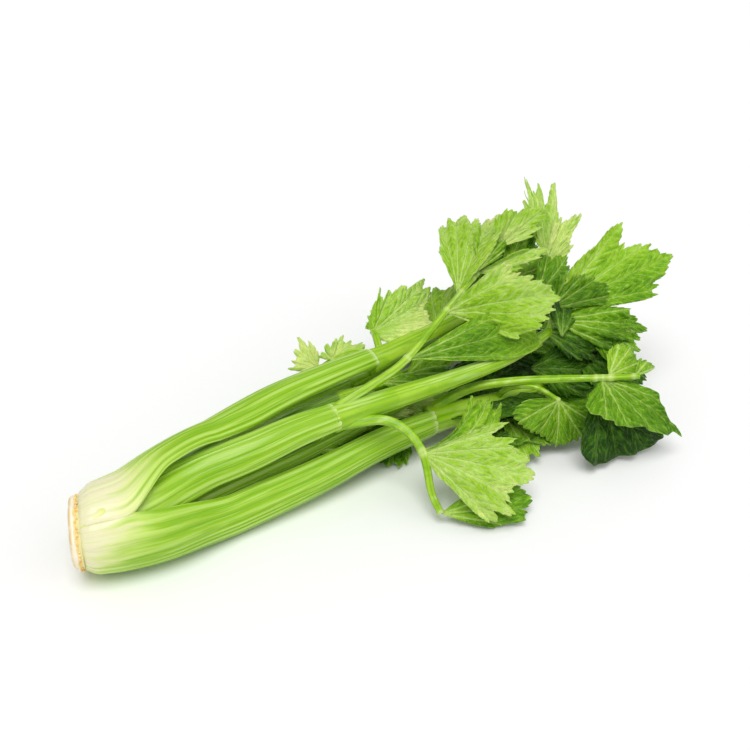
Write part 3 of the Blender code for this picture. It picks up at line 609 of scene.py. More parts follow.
# %% [markdown]
# A stalk's section changes along its length by the same rule as in the solid: the foot is a sector of
# the bulb, leaned square to the cut root end, and the free stalk is a smaller crescent with its own facing.
# The ribs start shallow in the white foot and stand out further up, and a joint ring swells the far end.

# %% Sections along a stalk
STATION_STEP = 2.5
FAINT_RIBS_X = (-40, 20)
FOOT_RIB_SHARE = 0.6
FOOT_OVERLAP = 0.9
FOOT_EXTRA = 0.3
SEAM_CLOSING = 3.5
SEAM_END_X = -17
SEAM_LENGTH = 7
END_TAPER = ((4.0, 0.0), (3.0, 0.1), (2.0, 0.3), (1.2, 0.6), (0.5, 1.0), (0.1, 1.5))


def stalk_section(spec, x, shrink=0.0):
    share, foot_depth, ribs, rib_height, (bulb_end, free_start) = RINGS[spec["ring"]]
    end_x = spec["route"][-1][0]
    free = float(smoothstep((x - bulb_end) / (free_start - bulb_end)))
    bared = free * free
    taper = max(0.0, (x - free_start) / (end_x - free_start)) ** TAPER_POWER
    bulb_radius = smooth_keys(BULB_RADIUS, x)[0]

    def tapered(pair):
        return pair[0] + (pair[1] - pair[0]) * taper

    swell = NODE_SWELL * math.exp(-((x - end_x) / NODE_LENGTH) ** 2) - shrink
    bulb_centre = np.array((x, *smooth_keys(BULB_LINE, x)))
    free_centre = np.array((x, *smooth_keys(spec["route"], x)))
    centre = bulb_centre + (free_centre - bulb_centre) * free
    facing = math.radians(spec["foot"][0] + (spec["free"][0] - spec["foot"][0]) * free)
    half = math.radians(spec["foot"][1] + (spec["free"][1] - spec["foot"][1]) * bared)
    half += FOOT_OVERLAP / bulb_radius * (1 - free)
    half += math.radians(SEAM_CLOSING) * math.exp(-((x - SEAM_END_X) / SEAM_LENGTH) ** 2)
    drawn_back = float(smoothstep((x - OPEN_X[0]) / (OPEN_X[1] - OPEN_X[0])))
    drawn_back *= 1 - float(smoothstep((x - OPEN_X[2]) / (OPEN_X[3] - OPEN_X[2])))
    opening = math.radians(spec.get("open", 0)) * drawn_back
    facing += OPEN_TURN * opening
    half -= (1 - OPEN_TURN) * opening
    radius = bulb_radius * share + (tapered(spec["radius"]) - bulb_radius * share) * free + swell
    foot_depth *= bulb_radius / BULB_MAX_RADIUS
    depth = foot_depth + (tapered(spec["depth"]) - foot_depth) * bared + swell
    faint = (x - FAINT_RIBS_X[0]) / (FAINT_RIBS_X[1] - FAINT_RIBS_X[0])
    rib_height *= FOOT_RIB_SHARE + (1 - FOOT_RIB_SHARE) * float(smoothstep(faint))
    points, groove, inside = section(centre, facing, half, radius, depth, min(EDGE, EDGE_SHARE * depth),
                                     ribs, rib_height, free, spec["foot"][0])
    lean = 1 - float(smoothstep((x - FOOT_X) / (LEAN_END_X - FOOT_X)))
    sideways = points[:, 1] - centre[1]
    points[:, 0] = x + lean * math.sin(math.radians(-CROWN_YAW)) * sideways
    points[:, 1] = centre[1] + (1 - lean * (1 - math.cos(math.radians(CROWN_YAW)))) * sideways
    points[:, 2] = np.maximum(points[:, 2], 0.0)
    return points, groove, inside


def stalk_mesh(name, spec):
    end_x = spec["route"][-1][0]
    count = int((end_x - FOOT_X) / STATION_STEP)
    stations = [(x, 0.0) for x in np.linspace(FOOT_X - FOOT_EXTRA, end_x - LAST_STATION, count)]
    stations += [(end_x - before, shrink) for before, shrink in END_TAPER]
    return loft(name, [stalk_section(spec, x, shrink) for x, shrink in stations], end_x - RING_PLACE)


stalk_meshes = {name: stalk_mesh("stalk_" + name, spec) for name, spec in STALKS.items()}
print("stalk faces:", {name: len(mesh.polygons) for name, mesh in stalk_meshes.items()})

# %% [markdown]
# The leaf stem goes on from inside the joint ring. It is almost round, with a groove along its upper side
# and a few low ribs, and it thins to a point under the last leaflets.

# %% Leaf stems
LEAF_STEM_STEP = 2.5
LEAF_STEM_STEPS = 16
LEAF_STEM_ROOT = 3.5
LEAF_STEM_TIP = 14.0
JOINT_FLARE = 0.75
FLARE_LENGTH = 7
TIP_THINNING = 0.75


def leaf_stem_mesh(name, frond, facing):
    route = smooth_route(frond["stem"], LEAF_STEM_STEPS)
    start, end = route[0, 0] - LEAF_STEM_ROOT, route[-1, 0]
    sections = []
    for x in np.linspace(start, end, int((end - start) / LEAF_STEM_STEP)):
        share = max(0.0, (x - route[0, 0]) / (end - route[0, 0]))
        radius = frond["radius"][0] + (frond["radius"][1] - frond["radius"][0]) * share
        radius *= 1 - TIP_THINNING * float(smoothstep((x - end + LEAF_STEM_TIP) / LEAF_STEM_TIP)) ** 2
        radius += JOINT_FLARE * math.exp(-(max(0.0, x - route[0, 0]) / FLARE_LENGTH) ** 2)
        centre = smooth_keys([tuple(p) for p in route], x) if x > start + LEAF_STEM_ROOT else route[0, 1:]
        rib_height = LEAF_STEM_RIB_HEIGHT * min(1, radius / 4)
        sections.append(section(
            np.array((x, *centre)), math.radians(facing), math.radians(LEAF_STEM_HALF), radius,
            LEAF_STEM_DEPTH * radius, 0.5 * radius, LEAF_STEM_RIBS, rib_height, 1.0, facing))
    return loft(name, sections)


leaf_stem_meshes = {name: leaf_stem_mesh("leaf_stem_" + name, frond, STALKS[name]["free"][0])
                    for name, frond in FRONDS.items()}
print("leaf stem faces:", {name: len(mesh.polygons) for name, mesh in leaf_stem_meshes.items()})

# %% [markdown]
# Node trees. Side stems follow a path, which is what Geometry Nodes' Curve to Mesh is for, and the finishes
# further down are shader nodes. Both kinds of tree are written with the same few helpers. A Value wraps a
# socket, so that plain arithmetic adds Math nodes, and plug() takes a link or a plain number alike.

# %% Values in a node tree
class Value:
    """A value in a node tree. Plain arithmetic with it adds Math nodes to that tree."""

    def __init__(self, tree, socket):
        self.tree, self.socket = tree, socket

    def maths(self, operation, *others):
        return maths(self.tree, operation, self, *others)

    def __add__(self, other):
        return self.maths("ADD", other)

    def __sub__(self, other):
        return self.maths("SUBTRACT", other)

    def __rsub__(self, other):
        return maths(self.tree, "SUBTRACT", other, self)

    def __mul__(self, other):
        return self.maths("MULTIPLY", other)

    def __truediv__(self, other):
        return self.maths("DIVIDE", other)

    def eased(self, low, high, to_low=0.0, to_high=1.0, kind="SMOOTHSTEP"):
        """The value moved from one range to another."""
        node = add_node(self.tree, "ShaderNodeMapRange", {
            "Value": self, "From Min": low, "From Max": high, "To Min": to_low, "To Max": to_high},
            interpolation_type=kind)
        return Value(self.tree, node.outputs["Result"])


def plug(tree, value, socket):
    """Gives a socket its input: a link from elsewhere in the tree, or a plain number."""
    if isinstance(value, Value):
        value = value.socket
    if isinstance(value, bpy.types.NodeSocket):
        tree.links.new(value, socket)
    else:
        socket.default_value = value


def add_node(tree, kind, inputs=None, **settings):
    """A node with its settings made and its inputs given."""
    made = tree.nodes.new(kind)
    for key, value in settings.items():
        setattr(made, key, value)
    for key, value in (inputs or {}).items():
        plug(tree, value, made.inputs[key])
    return made


def result_of(tree, kind, inputs=None, **settings):
    """The first output of a new node."""
    return Value(tree, add_node(tree, kind, inputs, **settings).outputs[0])


def maths(tree, operation, *values):
    return result_of(tree, "ShaderNodeMath", dict(enumerate(values)), operation=operation)


def new_tree(name, kind, inputs, outputs):
    """A node group, the values given to it by name, and the sockets of its results."""
    tree = bpy.data.node_groups.new(name, kind)
    for label, socket_type, value in inputs:
        socket = tree.interface.new_socket(label, in_out="INPUT", socket_type=socket_type)
        if value is not None:
            socket.default_value = value
    for label, socket_type in outputs:
        tree.interface.new_socket(label, in_out="OUTPUT", socket_type=socket_type)
    given = {socket.name: Value(tree, socket) for socket in tree.nodes.new("NodeGroupInput").outputs}
    return tree, given, tree.nodes.new("NodeGroupOutput").inputs


print("helpers for node trees are ready")

# %% [markdown]
# Side stems. The tree below sweeps a round profile with a few soft ribs along any line of points, and a value
# on the points makes the stem taper. Its inputs are named, so one tree serves every side stem.
# They are set by their identifiers before the object is evaluated.

# %% Geometry Nodes tree for ribbed stems
def new_geometry_tree(name, inputs):
    shape = "NodeSocketGeometry"
    return new_tree(name, "GeometryNodeTree", (("Geometry", shape, None), *inputs), (("Geometry", shape),))


def end_tree(tree, geometry, surface, result):
    """Shades a tree's geometry smooth, makes it real, gives it its material and puts it out."""
    smooth = result_of(tree, "GeometryNodeSetShadeSmooth", {"Geometry": geometry})
    real = result_of(tree, "GeometryNodeRealizeInstances", {"Geometry": smooth})
    painted = result_of(tree, "GeometryNodeSetMaterial", {"Geometry": real, "Material": surface})
    plug(tree, painted, result["Geometry"])
    return tree


def points_mesh(name, points, values, joined=False):
    """Loose points in the frame, or a line of them, with named values for a tree to work on."""
    mesh = bpy.data.meshes.new(name)
    edges = [(i, i + 1) for i in range(len(points) - 1)] if joined else []
    mesh.from_pydata(in_frame(points).tolist(), edges, [])
    for key, numbers in values.items():
        mesh.attributes.new(key, "FLOAT", "POINT").data.foreach_set("value", np.asarray(numbers, np.float32))
    return mesh


def evaluate_tree(name, source, tree, values):
    """The plain mesh that a tree makes from another mesh."""
    thing = bpy.data.objects.new(name, source)
    modifier = thing.modifiers.new(tree.name, "NODES")
    modifier.node_group = tree
    for item in tree.interface.items_tree:
        if item.item_type == "SOCKET" and item.in_out == "INPUT" and item.name in values:
            modifier[item.identifier] = values[item.name]
    bpy.context.scene.collection.objects.link(thing)
    graph = bpy.context.evaluated_depsgraph_get()
    mesh = bpy.data.meshes.new_from_object(thing.evaluated_get(graph))
    mesh.name = name
    bpy.data.objects.remove(thing)
    return mesh


def named(tree, name):
    return result_of(tree, "GeometryNodeInputNamedAttribute", {"Name": name}, data_type="FLOAT")


def ribbed_stem_tree():
    tree, given, result = new_geometry_tree("ribbed_stem", (
        ("Ribs", "NodeSocketInt", 5), ("Rib share", "NodeSocketFloat", 0.07),
        ("Profile points", "NodeSocketInt", 40), ("Material", "NodeSocketMaterial", None)))
    count = given["Profile points"]
    circle = result_of(tree, "GeometryNodeCurvePrimitiveCircle", {"Resolution": count, "Radius": 1.0})
    half_turn = result_of(tree, "GeometryNodeInputIndex") / count * given["Ribs"] * math.pi
    groove = 1.0 - half_turn.maths("SINE").maths("ABSOLUTE").maths("POWER", GROOVE_SHARPNESS)
    place = result_of(tree, "GeometryNodeInputPosition")
    inward = result_of(tree, "ShaderNodeVectorMath", {
        0: place, "Scale": groove * given["Rib share"] * -1.0}, operation="SCALE")
    kept = result_of(tree, "GeometryNodeStoreNamedAttribute", {
        "Geometry": circle, "Name": "groove", "Value": groove}, data_type="FLOAT")
    profile = result_of(tree, "GeometryNodeSetPosition", {"Geometry": kept, "Offset": inward})
    path = result_of(tree, "GeometryNodeMeshToCurve", {"Mesh": given["Geometry"]})
    thickness = named(tree, "thickness")
    wide = result_of(tree, "GeometryNodeSetCurveRadius", {"Curve": path, "Radius": thickness})
    swept = add_node(tree, "GeometryNodeCurveToMesh", {
        "Curve": wide, "Profile Curve": profile, "Fill Caps": True})
    if "Scale" in swept.inputs:
        plug(tree, thickness, swept.inputs["Scale"])
    return end_tree(tree, swept.outputs[0], given["Material"], result)


RIBBED_STEM = ribbed_stem_tree()
SIDE_STEM_STEPS = 18
ROOT_SHIFT = (7, 0, 0)
ROOT_SWELL = 0.5
ROOT_SHARE = 0.12
KNOT_REACH = 5.0
KNOT_SWELL = 0.35
KNOT_LENGTH = 1.6
FIRST_BEND = 0.65


def side_stem_mesh(name, frond, route, first_radius, last_radius, surface):
    """A side stem that starts inside the leaf stem and has a knot where a leaflet leaves it."""
    trunk = smooth_route(frond["stem"], LEAF_STEM_STEPS)
    first = np.array(route[0], float)
    inside = trunk[np.argmin(np.linalg.norm(trunk - first + ROOT_SHIFT, axis=1))]
    bend = (1 - FIRST_BEND) * inside + FIRST_BEND * first
    line = smooth_route([tuple(inside), tuple(bend), *route[1:]], SIDE_STEM_STEPS)
    share = np.linspace(0, 1, len(line))
    thickness = first_radius + (last_radius - first_radius) * share
    thickness = thickness + ROOT_SWELL * np.exp(-(share / ROOT_SHARE) ** 2)
    ring = np.zeros(len(line))
    for leaf in frond["leaves"]:
        away = np.linalg.norm(line - np.array(leaf[0], float), axis=1)
        if away.min() < KNOT_REACH:
            knot = line[away.argmin()]
            ring = np.maximum(ring, np.exp(-(np.linalg.norm(line - knot, axis=1) / KNOT_LENGTH) ** 2))
    values = {"thickness": (thickness + KNOT_SWELL * ring) * MM, "ring": ring}
    path = points_mesh(name, line, values, joined=True)
    return evaluate_tree(name, path, RIBBED_STEM, {"Material": surface})


print("ribbed stem tree has", len(RIBBED_STEM.nodes), "nodes")

# %% [markdown]
# Leaflets. Each blade is a grid: columns are rays from the base and rows go out along them. Most leaflets in
# full view have a rim of their own, laid from the camera's place onto the blade. The others have the rim of
# their outline, with the same random draws as the solid. Small round teeth run along all but a few rims.

# %% Rim of a leaflet
TOOTH_LENGTH = 4.8
TOOTH_DEPTH = 2.9
TOOTH_LEAN = 0.72
TOOTH_ROUNDNESS = 1.35
RAY_STEP = 0.8
PLAIN_RAY_STEP = 1.2
ROW_STEP = 2.0
SOFT_CORNER = (-1.2, -0.6, 0, 0.6, 1.2)
MAIN_VEINS = {"broad": (-0.52, 0, 0.52), "ovate": (-0.57, 0, 0.57), "lobed": (-0.55, 0, 0.55),
              "plain": (-0.5, 0, 0.5), "drawn": (-0.4, 0, 0.4), "blunt": (-0.6, 0, 0.6)}
TEETH_ON_RIM = 0.75
VEIN_REACH = 0.7
CORNER_SHARE = 0.4
TEETH_MIDDLE = 0.35

CAMERA_PLACE = np.array((-0.2686, -0.5453, 0.5383))
CAMERA_RIGHT = np.array((0.8192, -0.5736, 0.0))
CAMERA_UP = np.array((0.3290, 0.4698, 0.8192))
CAMERA_AHEAD = np.cross(CAMERA_UP, CAMERA_RIGHT)


def seen_place(point):
    """Where the camera sees a point, as a complex number: right + up j, each as a share of the depth."""
    off = in_frame(point) - CAMERA_PLACE
    return complex(off @ CAMERA_RIGHT, off @ CAMERA_UP) / (off @ CAMERA_AHEAD)


def laid_on_blade(places, reaches, base, tip, ahead, side, up):
    """Turns directions and shares of the length as the camera sees them into those in the leaflet's plane."""
    start, end = seen_place(base), seen_place(tip)
    seen = start + (end - start) * np.array(reaches) * np.exp(1j * np.radians(places))
    look = CAMERA_AHEAD + seen.real[:, None] * CAMERA_RIGHT + seen.imag[:, None] * CAMERA_UP
    origin = in_frame(base)
    depth = ((origin - CAMERA_PLACE) @ up) / (look @ up)
    off = CAMERA_PLACE + depth[:, None] * look - origin
    along, across = off @ ahead, off @ side
    length = np.linalg.norm(in_frame(tip) - origin)
    return np.degrees(np.unwrap(np.arctan2(across, along))), np.hypot(along, across) / length


def lobes_of(key, outline, spread, plane, random_of_leaf):
    """A leaflet's rim in degrees and shares of its length, its main veins, its bend and its teeth."""
    half = OUTLINES[outline]
    shares = [-share for share, _ in reversed(half[1:])] + [share for share, _ in half]
    reaches = [reach * random_of_leaf.uniform(*REACH_CHANGE)
               for reach in [r for _, r in reversed(half[1:])] + [r for _, r in half]]
    if key in RIMS:
        veins, bend, rim = RIMS[key]
        places, reaches = laid_on_blade(*zip(*rim), *plane)
        veins = laid_on_blade(veins, [VEIN_REACH] * len(veins), *plane)[0]
        teeth_share = 0.0 if key in SMOOTH_RIMS else TEETH_ON_RIM
        return np.maximum.accumulate(places), reaches, veins, bend, teeth_share
    veins = [spread * share for share in MAIN_VEINS[outline]]
    return np.array(shares) * spread, np.array(reaches), veins, 0.0, 1.0


def rim_of(places, reaches, length, teeth_share, step):
    """Rays in degrees, and how far each reaches as a share of the length: with lobes only, and with teeth."""
    rays = [places[0]]
    for left, right, low, high in zip(places, places[1:], reaches, reaches[1:]):
        arc = math.hypot(math.radians(right - left) * length * (low + high) / 2, (high - low) * length)
        rays.extend(np.linspace(left, right, max(2, round(arc / step)) + 1)[1:])
    rays = np.array(rays)
    lobes = np.mean([np.interp(rays + shift, places, reaches) for shift in SOFT_CORNER], axis=0)
    lobes = np.interp(rays, places, reaches) * (1 - CORNER_SHARE) + CORNER_SHARE * lobes
    run = np.hypot(np.radians(np.diff(rays)) * length * lobes[1:], np.diff(lobes) * length)
    run = np.concatenate(([0], np.cumsum(run)))
    tip = run[lobes.argmax()]
    turn = np.mod(-np.abs(run - tip) / TOOTH_LENGTH, 1.0)
    saw = np.where(turn < TOOTH_LEAN, turn / TOOTH_LEAN, (1 - turn) / (1 - TOOTH_LEAN))
    teeth = teeth_share * TOOTH_DEPTH / length * (TEETH_MIDDLE - (1 - saw) ** TOOTH_ROUNDNESS)
    return rays, lobes, lobes + teeth


print("leaflets with rims of their own:", len(RIMS))

# %% [markdown]
# From rims to blades. A blade bulges between its side veins, as a crisp leaf does, and both of its faces are
# joined into one thin shell. The materials need to know where they are on the leaf. So the UV map holds the
# place along and across the midrib in decimetres, and values say which face it is, how near the rim, how pale
# the leaf is, with painted shade for leaflets in shadow, and how far off and along the nearest main vein a
# point lies.

# %% Leaflet blades
BLADE_HALF_THICKNESS = 0.2
VEIN_SPACING = 6.5
VEIN_SLOPE = 1.75
VEIN_RIDGE = 0.45
VEIN_WIDTH = 0.8
BULGE = 0.75
PLEAT = 1.5
PLEAT_WIDTH = 11
RUFFLE = 1.6
RUFFLE_RATE = 17
CRINKLE = 0.6
# Leaflets shorter than this are flatter, in proportion.
FULL_LENGTH = 55
FIRST_ROW = 0.03
ROW_LIMITS = (14, 44)
TEETH_FROM = 0.72
TONE_CHANGE = 0.13
LEAFLETS_IN_MESH = 5


def nearest_vein(veins, rays, radius):
    """The distance in millimetres off the nearest main vein, and along it."""
    turn = np.radians(np.abs(rays[:, None] - np.array(veins, float)[None, :]).min(axis=1))
    return radius * np.sin(turn), radius * np.cos(turn)


def crinkle(along, across, start):
    """Small uneven waves over a blade, from a few crossing sines."""
    waves = np.sin(0.55 * along + 0.35 * across + start) + np.sin(-0.3 * along + 0.62 * across + 2 * start)
    waves = waves + np.sin(0.9 * along - 0.5 * across + 3 * start) * 0.6
    return (waves + np.sin(0.25 * along + 1.1 * np.abs(across)) * 0.6) / 2


def blade_lift(out, turn, wave, vein_off, vein_along, along, across):
    """How far a full-sized blade rises: bulges between side veins, pleats, ruffles and small crinkles."""
    phase = (vein_along - VEIN_SLOPE * vein_off) / VEIN_SPACING
    open_blade = smoothstep(vein_off / 4) * smoothstep((1.08 - out) / 0.3)
    open_blade = open_blade * smoothstep((0.55 - vein_off / vein_along) / 0.3)
    lift = BULGE * np.sin(math.pi * phase) ** 2 * open_blade
    lift = lift + PLEAT * smoothstep(vein_off / PLEAT_WIDTH) * smoothstep(out * 3)
    lift = lift + RUFFLE * out ** 3 * np.sin(RUFFLE_RATE * turn + 2 * wave) * smoothstep(np.abs(turn) / 0.3)
    return lift + CRINKLE * smoothstep(out * 4) * crinkle(along, across, wave)


def shell_of(grid, up, ridge):
    """The points and faces of a thin closed shell round a grid, with its veins raised on the lower face."""
    rows, columns = grid.shape[:2]
    normal = np.cross(np.gradient(grid, axis=0), np.gradient(grid, axis=1))
    normal /= np.maximum(np.linalg.norm(normal, axis=2, keepdims=True), 1e-9)
    normal *= np.sign((normal * up).sum(axis=2, keepdims=True).mean())
    top = (grid + BLADE_HALF_THICKNESS * normal).reshape(-1, 3)
    bottom = (grid - (BLADE_HALF_THICKNESS + ridge)[..., None] * normal).reshape(-1, 3)
    quads = grid_faces(rows, columns, False)
    count = rows * columns
    edge = np.concatenate((np.arange(columns), columns * np.arange(1, rows) + columns - 1,
                           count - 2 - np.arange(columns - 1), columns * np.arange(rows - 2, 0, -1)))
    after = np.roll(edge, -1)
    rim = np.stack((edge, after, after + count, edge + count), axis=1)
    return np.concatenate((top, bottom)), np.concatenate((quads, quads[:, ::-1] + count, rim))


def leaflet(key, spec, random_of_leaf):
    """The points, faces, UVs and values of one leaflet, as a thin closed shell."""
    base, tip, facing, outline, spread, arch, fold, tone = spec
    base, tip = np.array(base, float), np.array(tip, float)
    length = np.linalg.norm(tip - base)
    ahead = (tip - base) / length
    side = np.cross(facing, ahead)
    side /= np.linalg.norm(side)
    up = np.cross(ahead, side)
    fold = math.radians(fold)
    wave = random_of_leaf.uniform(0, 2 * math.pi)
    plane = (base, tip, ahead, side, up)
    places, reaches, veins, bend, teeth_share = lobes_of(key, outline, spread, plane, random_of_leaf)
    step = RAY_STEP if key in RIMS else PLAIN_RAY_STEP
    rays, lobed, toothed = rim_of(places, reaches, length, teeth_share, step)
    out = np.linspace(FIRST_ROW, 1, int(np.clip(length / ROW_STEP, *ROW_LIMITS)))[:, None]
    near_rim = smoothstep((out - TEETH_FROM) / (1 - TEETH_FROM))
    reach = out * (lobed + (toothed - lobed) * near_rim)
    turned = np.radians(rays + bend * (reach - 1))
    a, b = reach * np.cos(turned), reach * np.sin(turned)
    height = arch * 4 * a * (1 - a) + np.abs(b) * math.sin(fold)
    height = height + WAVE_HEIGHT * out * np.sin(WAVE_RATE * rays / spread + wave)
    along, across = a * length, b * length
    vein_off, vein_along = nearest_vein(veins, rays, reach * length)
    fullness = min(1.0, length / FULL_LENGTH)
    lift = fullness * blade_lift(out, rays / spread, wave, vein_off, vein_along, along, across)
    grid = (base + along[..., None] * ahead + (across * math.cos(fold))[..., None] * side
            + (length * height + lift)[..., None] * up)
    grid[..., 2] = np.maximum(grid[..., 2], LOWEST_BLADE)
    ridge = VEIN_RIDGE * np.exp(-(vein_off / VEIN_WIDTH) ** 2) * (1 - out) * fullness
    points, faces = shell_of(grid, up, ridge)
    uv = np.tile(np.stack((along, across), axis=-1).reshape(-1, 2) / 100, (2, 1))
    to_tip, to_left = random_of_leaf.uniform(-1, 1), random_of_leaf.uniform(-1, 1)
    uneven = TONE_CHANGE * (to_tip * (2 * out - 1) + to_left * b / np.abs(b).max())
    values = {"tone": tone + uneven, "rim": np.broadcast_to(out, a.shape),
              "vein_off": vein_off, "vein_along": vein_along}
    values = {key: np.tile(numbers.ravel(), 2) for key, numbers in values.items()}
    values["under"] = np.repeat((0.0, 1.0), a.size)
    return points, faces, uv, values


def blades_of(name, frond, seed):
    """The leaflets of one stalk, a few in each mesh."""
    random_of_leaf = random.Random(seed)
    made = [leaflet("%s_%d" % (name, i), spec, random_of_leaf) for i, spec in enumerate(frond["leaves"])]
    meshes = []
    for start in range(0, len(made), LEAFLETS_IN_MESH):
        points, faces, uv, values = zip(*made[start:start + LEAFLETS_IN_MESH])
        firsts = np.cumsum([0, *(len(part) for part in points)])
        faces = np.concatenate([part + first for part, first in zip(faces, firsts)])
        values = {key: np.concatenate([part[key] for part in values]) for key in values[0]}
        mesh = mesh_of("leaf_blades_%s_%d" % (name, len(meshes)), np.concatenate(points), faces, (),
                       np.concatenate(uv), values)
        meshes.append(outward(mesh))
    return meshes


blade_meshes = {name: blades_of(name, frond, seed) for seed, (name, frond) in enumerate(FRONDS.items())}
for name, meshes in blade_meshes.items():
    print("blade faces of", name, [len(mesh.polygons) for mesh in meshes])

# %% [markdown]
# The crown. The knife has cut the root end flat, and it has dried to cream with a tan rim. The cut shows the
# feet of the stalks as rings, so the disc is a fine polar grid, and a small wave along its radius presses
# the rings in.

# %% Cut root end
CROWN_ROWS = 60
CROWN_COLUMNS = 160
RIM_ROUNDNESS = 2.2
CROWN_OVERLAP = 0.8
LUMP_SIZES = (0.35, 0.8)
RING_DEPTH = 0.35
HOLLOW = 0.5
LUMPS_ROUND_CROWN = (3, 5, 8, 13)
RINGS_IN_CUT = 3.5


def crown_axes():
    """The way into the bulb, the two ways across the cut, and the middle of the cut."""
    yaw = math.radians(CROWN_YAW)
    into = np.array((math.cos(yaw), math.sin(yaw), 0))
    flat = np.array((-math.sin(yaw), math.cos(yaw), 0))
    return into, flat, np.array((0, 0, 1.0)), np.array((CUT_FACE_X, *BULB_LINE[0][1:]))


def crown_mesh():
    random_of_crown = random.Random(11)
    lumps = [(random_of_crown.uniform(*LUMP_SIZES), random_of_crown.uniform(0, 2 * math.pi), n)
             for n in LUMPS_ROUND_CROWN]
    turn = np.linspace(0, 2 * math.pi, CROWN_COLUMNS, endpoint=False)
    wobble = sum(size * np.cos(n * turn + start) for size, start, n in lumps) / 2
    profile = []
    for share in np.linspace(0.02, 1, CROWN_ROWS):
        radius = (CROWN_RADIUS - RIM_ROUNDNESS) * share
        dip = RING_DEPTH * (1 - math.cos(2 * math.pi * share * RINGS_IN_CUT)) / 2 + HOLLOW * (1 - share ** 2)
        profile.append((radius, dip))
    for angle in np.linspace(0, math.pi / 2, 10)[1:]:
        radius = CROWN_RADIUS - RIM_ROUNDNESS * (1 - math.sin(angle))
        profile.append((radius, RIM_ROUNDNESS * (1 - math.cos(angle))))
    for deep in np.linspace(RIM_ROUNDNESS, CROWN_THICKNESS + CROWN_OVERLAP, 12)[1:]:
        profile.append((CROWN_RADIUS + 0.25 * math.sin(deep * 2.1), deep))
    axis, flat, upright, centre = crown_axes()
    rows = []
    for radius, deep in profile:
        share = radius / CROWN_RADIUS
        size = radius + wobble * share ** 3 - 0.35 * share ** 3
        rows.append(centre + deep * axis + (size * np.cos(turn))[:, None] * flat
                    + (size * np.sin(turn))[:, None] * upright)
    points = np.array(rows)
    radial = np.array([radius for radius, _ in profile]) / CROWN_RADIUS
    values = {"radial": np.repeat(radial, CROWN_COLUMNS),
              "deep": np.repeat([deep / CROWN_THICKNESS for _, deep in profile], CROWN_COLUMNS),
              "side": np.repeat([float(smoothstep((deep - 0.8) / 1.6)) if radius > CROWN_RADIUS * 0.9 else 0.0
                                 for radius, deep in profile], CROWN_COLUMNS)}
    last = (len(profile) - 1) * CROWN_COLUMNS
    ends = (range(CROWN_COLUMNS), reversed(range(last, last + CROWN_COLUMNS)))
    across = np.stack((np.outer(radial, np.cos(turn)), np.outer(radial, np.sin(turn))), axis=-1)
    faces = grid_faces(len(profile), CROWN_COLUMNS, True)
    return outward(mesh_of("crown_cut", points.reshape(-1, 3), faces, ends, across.reshape(-1, 2), values))


crown = crown_mesh()
print("crown faces:", len(crown.polygons))

# %% [markdown]
# Finishes. Stalks, stems and leaves share their effects, so each effect is a shader group, built once:
# fibre streaks that run along a surface's UV map, and a soft mottle in space. The groups put out values.
# A finish is then one colour with others laid over it, each as far as its own value says.

# %% Shader groups
def opaque(colour):
    """A plain colour with its alpha. A value of the tree stays as it is."""
    return (*colour, 1) if isinstance(colour, tuple) else colour


def mix_colour(tree, factor, first, second):
    node = add_node(tree, "ShaderNodeMix", {0: factor, 6: opaque(first), 7: opaque(second)}, data_type="RGBA")
    return Value(tree, node.outputs[2])


def layered(tree, colour, *layers):
    for factor, over in layers:
        colour = mix_colour(tree, factor, colour, over)
    return colour


def ramp(tree, value, stops):
    made = add_node(tree, "ShaderNodeValToRGB", {0: value})
    elements = made.color_ramp.elements
    while len(elements) < len(stops):
        elements.new(0.5)
    for element, (place, colour) in zip(elements, stops):
        element.position = place
        element.color = opaque(colour)
    return Value(tree, made.outputs["Color"])


def noise(tree, vector, scale, detail=3.0, roughness=0.5):
    node = add_node(tree, "ShaderNodeTexNoise", {
        "Vector": vector, "Scale": scale, "Detail": detail, "Roughness": roughness})
    return Value(tree, node.outputs["Fac"])


def parts_of(tree, vector):
    return [Value(tree, socket) for socket in add_node(tree, "ShaderNodeSeparateXYZ", {0: vector}).outputs]


def new_shader_group(name, inputs, *labels):
    return new_tree(name, "ShaderNodeTree", inputs, [(label, "NodeSocketFloat") for label in labels])


def fibre_group():
    tree, given, result = new_shader_group(
        "fibre_streaks", (("UV", "NodeSocketVector", None), ("Fineness", "NodeSocketFloat", 90.0)),
        "Broad", "Fine")
    along, across, _ = parts_of(tree, given["UV"])
    for label, lengthwise, crosswise in (("Broad", 1.6, 0.3), ("Fine", 2.4, 1.0)):
        stretched = result_of(tree, "ShaderNodeCombineXYZ", {
            "X": along * lengthwise, "Y": across * given["Fineness"] * crosswise})
        plug(tree, noise(tree, stretched, 1.0), result[label])
    return tree


def mottle_group():
    tree, given, result = new_shader_group("soft_mottle", (("Size", "NodeSocketFloat", 40.0),), "Mottle")
    place = add_node(tree, "ShaderNodeTexCoord").outputs["Object"]
    plug(tree, noise(tree, place, given["Size"]), result["Mottle"])
    return tree


FIBRES = fibre_group()
MOTTLE = mottle_group()


def use_group(tree, group, inputs):
    """The results of a group by name."""
    outputs = add_node(tree, "ShaderNodeGroup", inputs, node_tree=group).outputs
    return {socket.name: Value(tree, socket) for socket in outputs}


def mottled(tree, size):
    return use_group(tree, MOTTLE, {"Size": size})["Mottle"]


def attribute(tree, name):
    return Value(tree, add_node(tree, "ShaderNodeAttribute", attribute_name=name).outputs["Fac"])


def new_material(name, **constants):
    """A material with the shader's plain numbers set on the shader itself."""
    made = bpy.data.materials.new(name)
    made.use_nodes = True
    shader = made.node_tree.nodes["Principled BSDF"]
    for label, value in {"Specular_IOR_Level": 0.3, **constants}.items():
        shader.inputs[label.replace("_", " ")].default_value = value
    return made, made.node_tree, shader


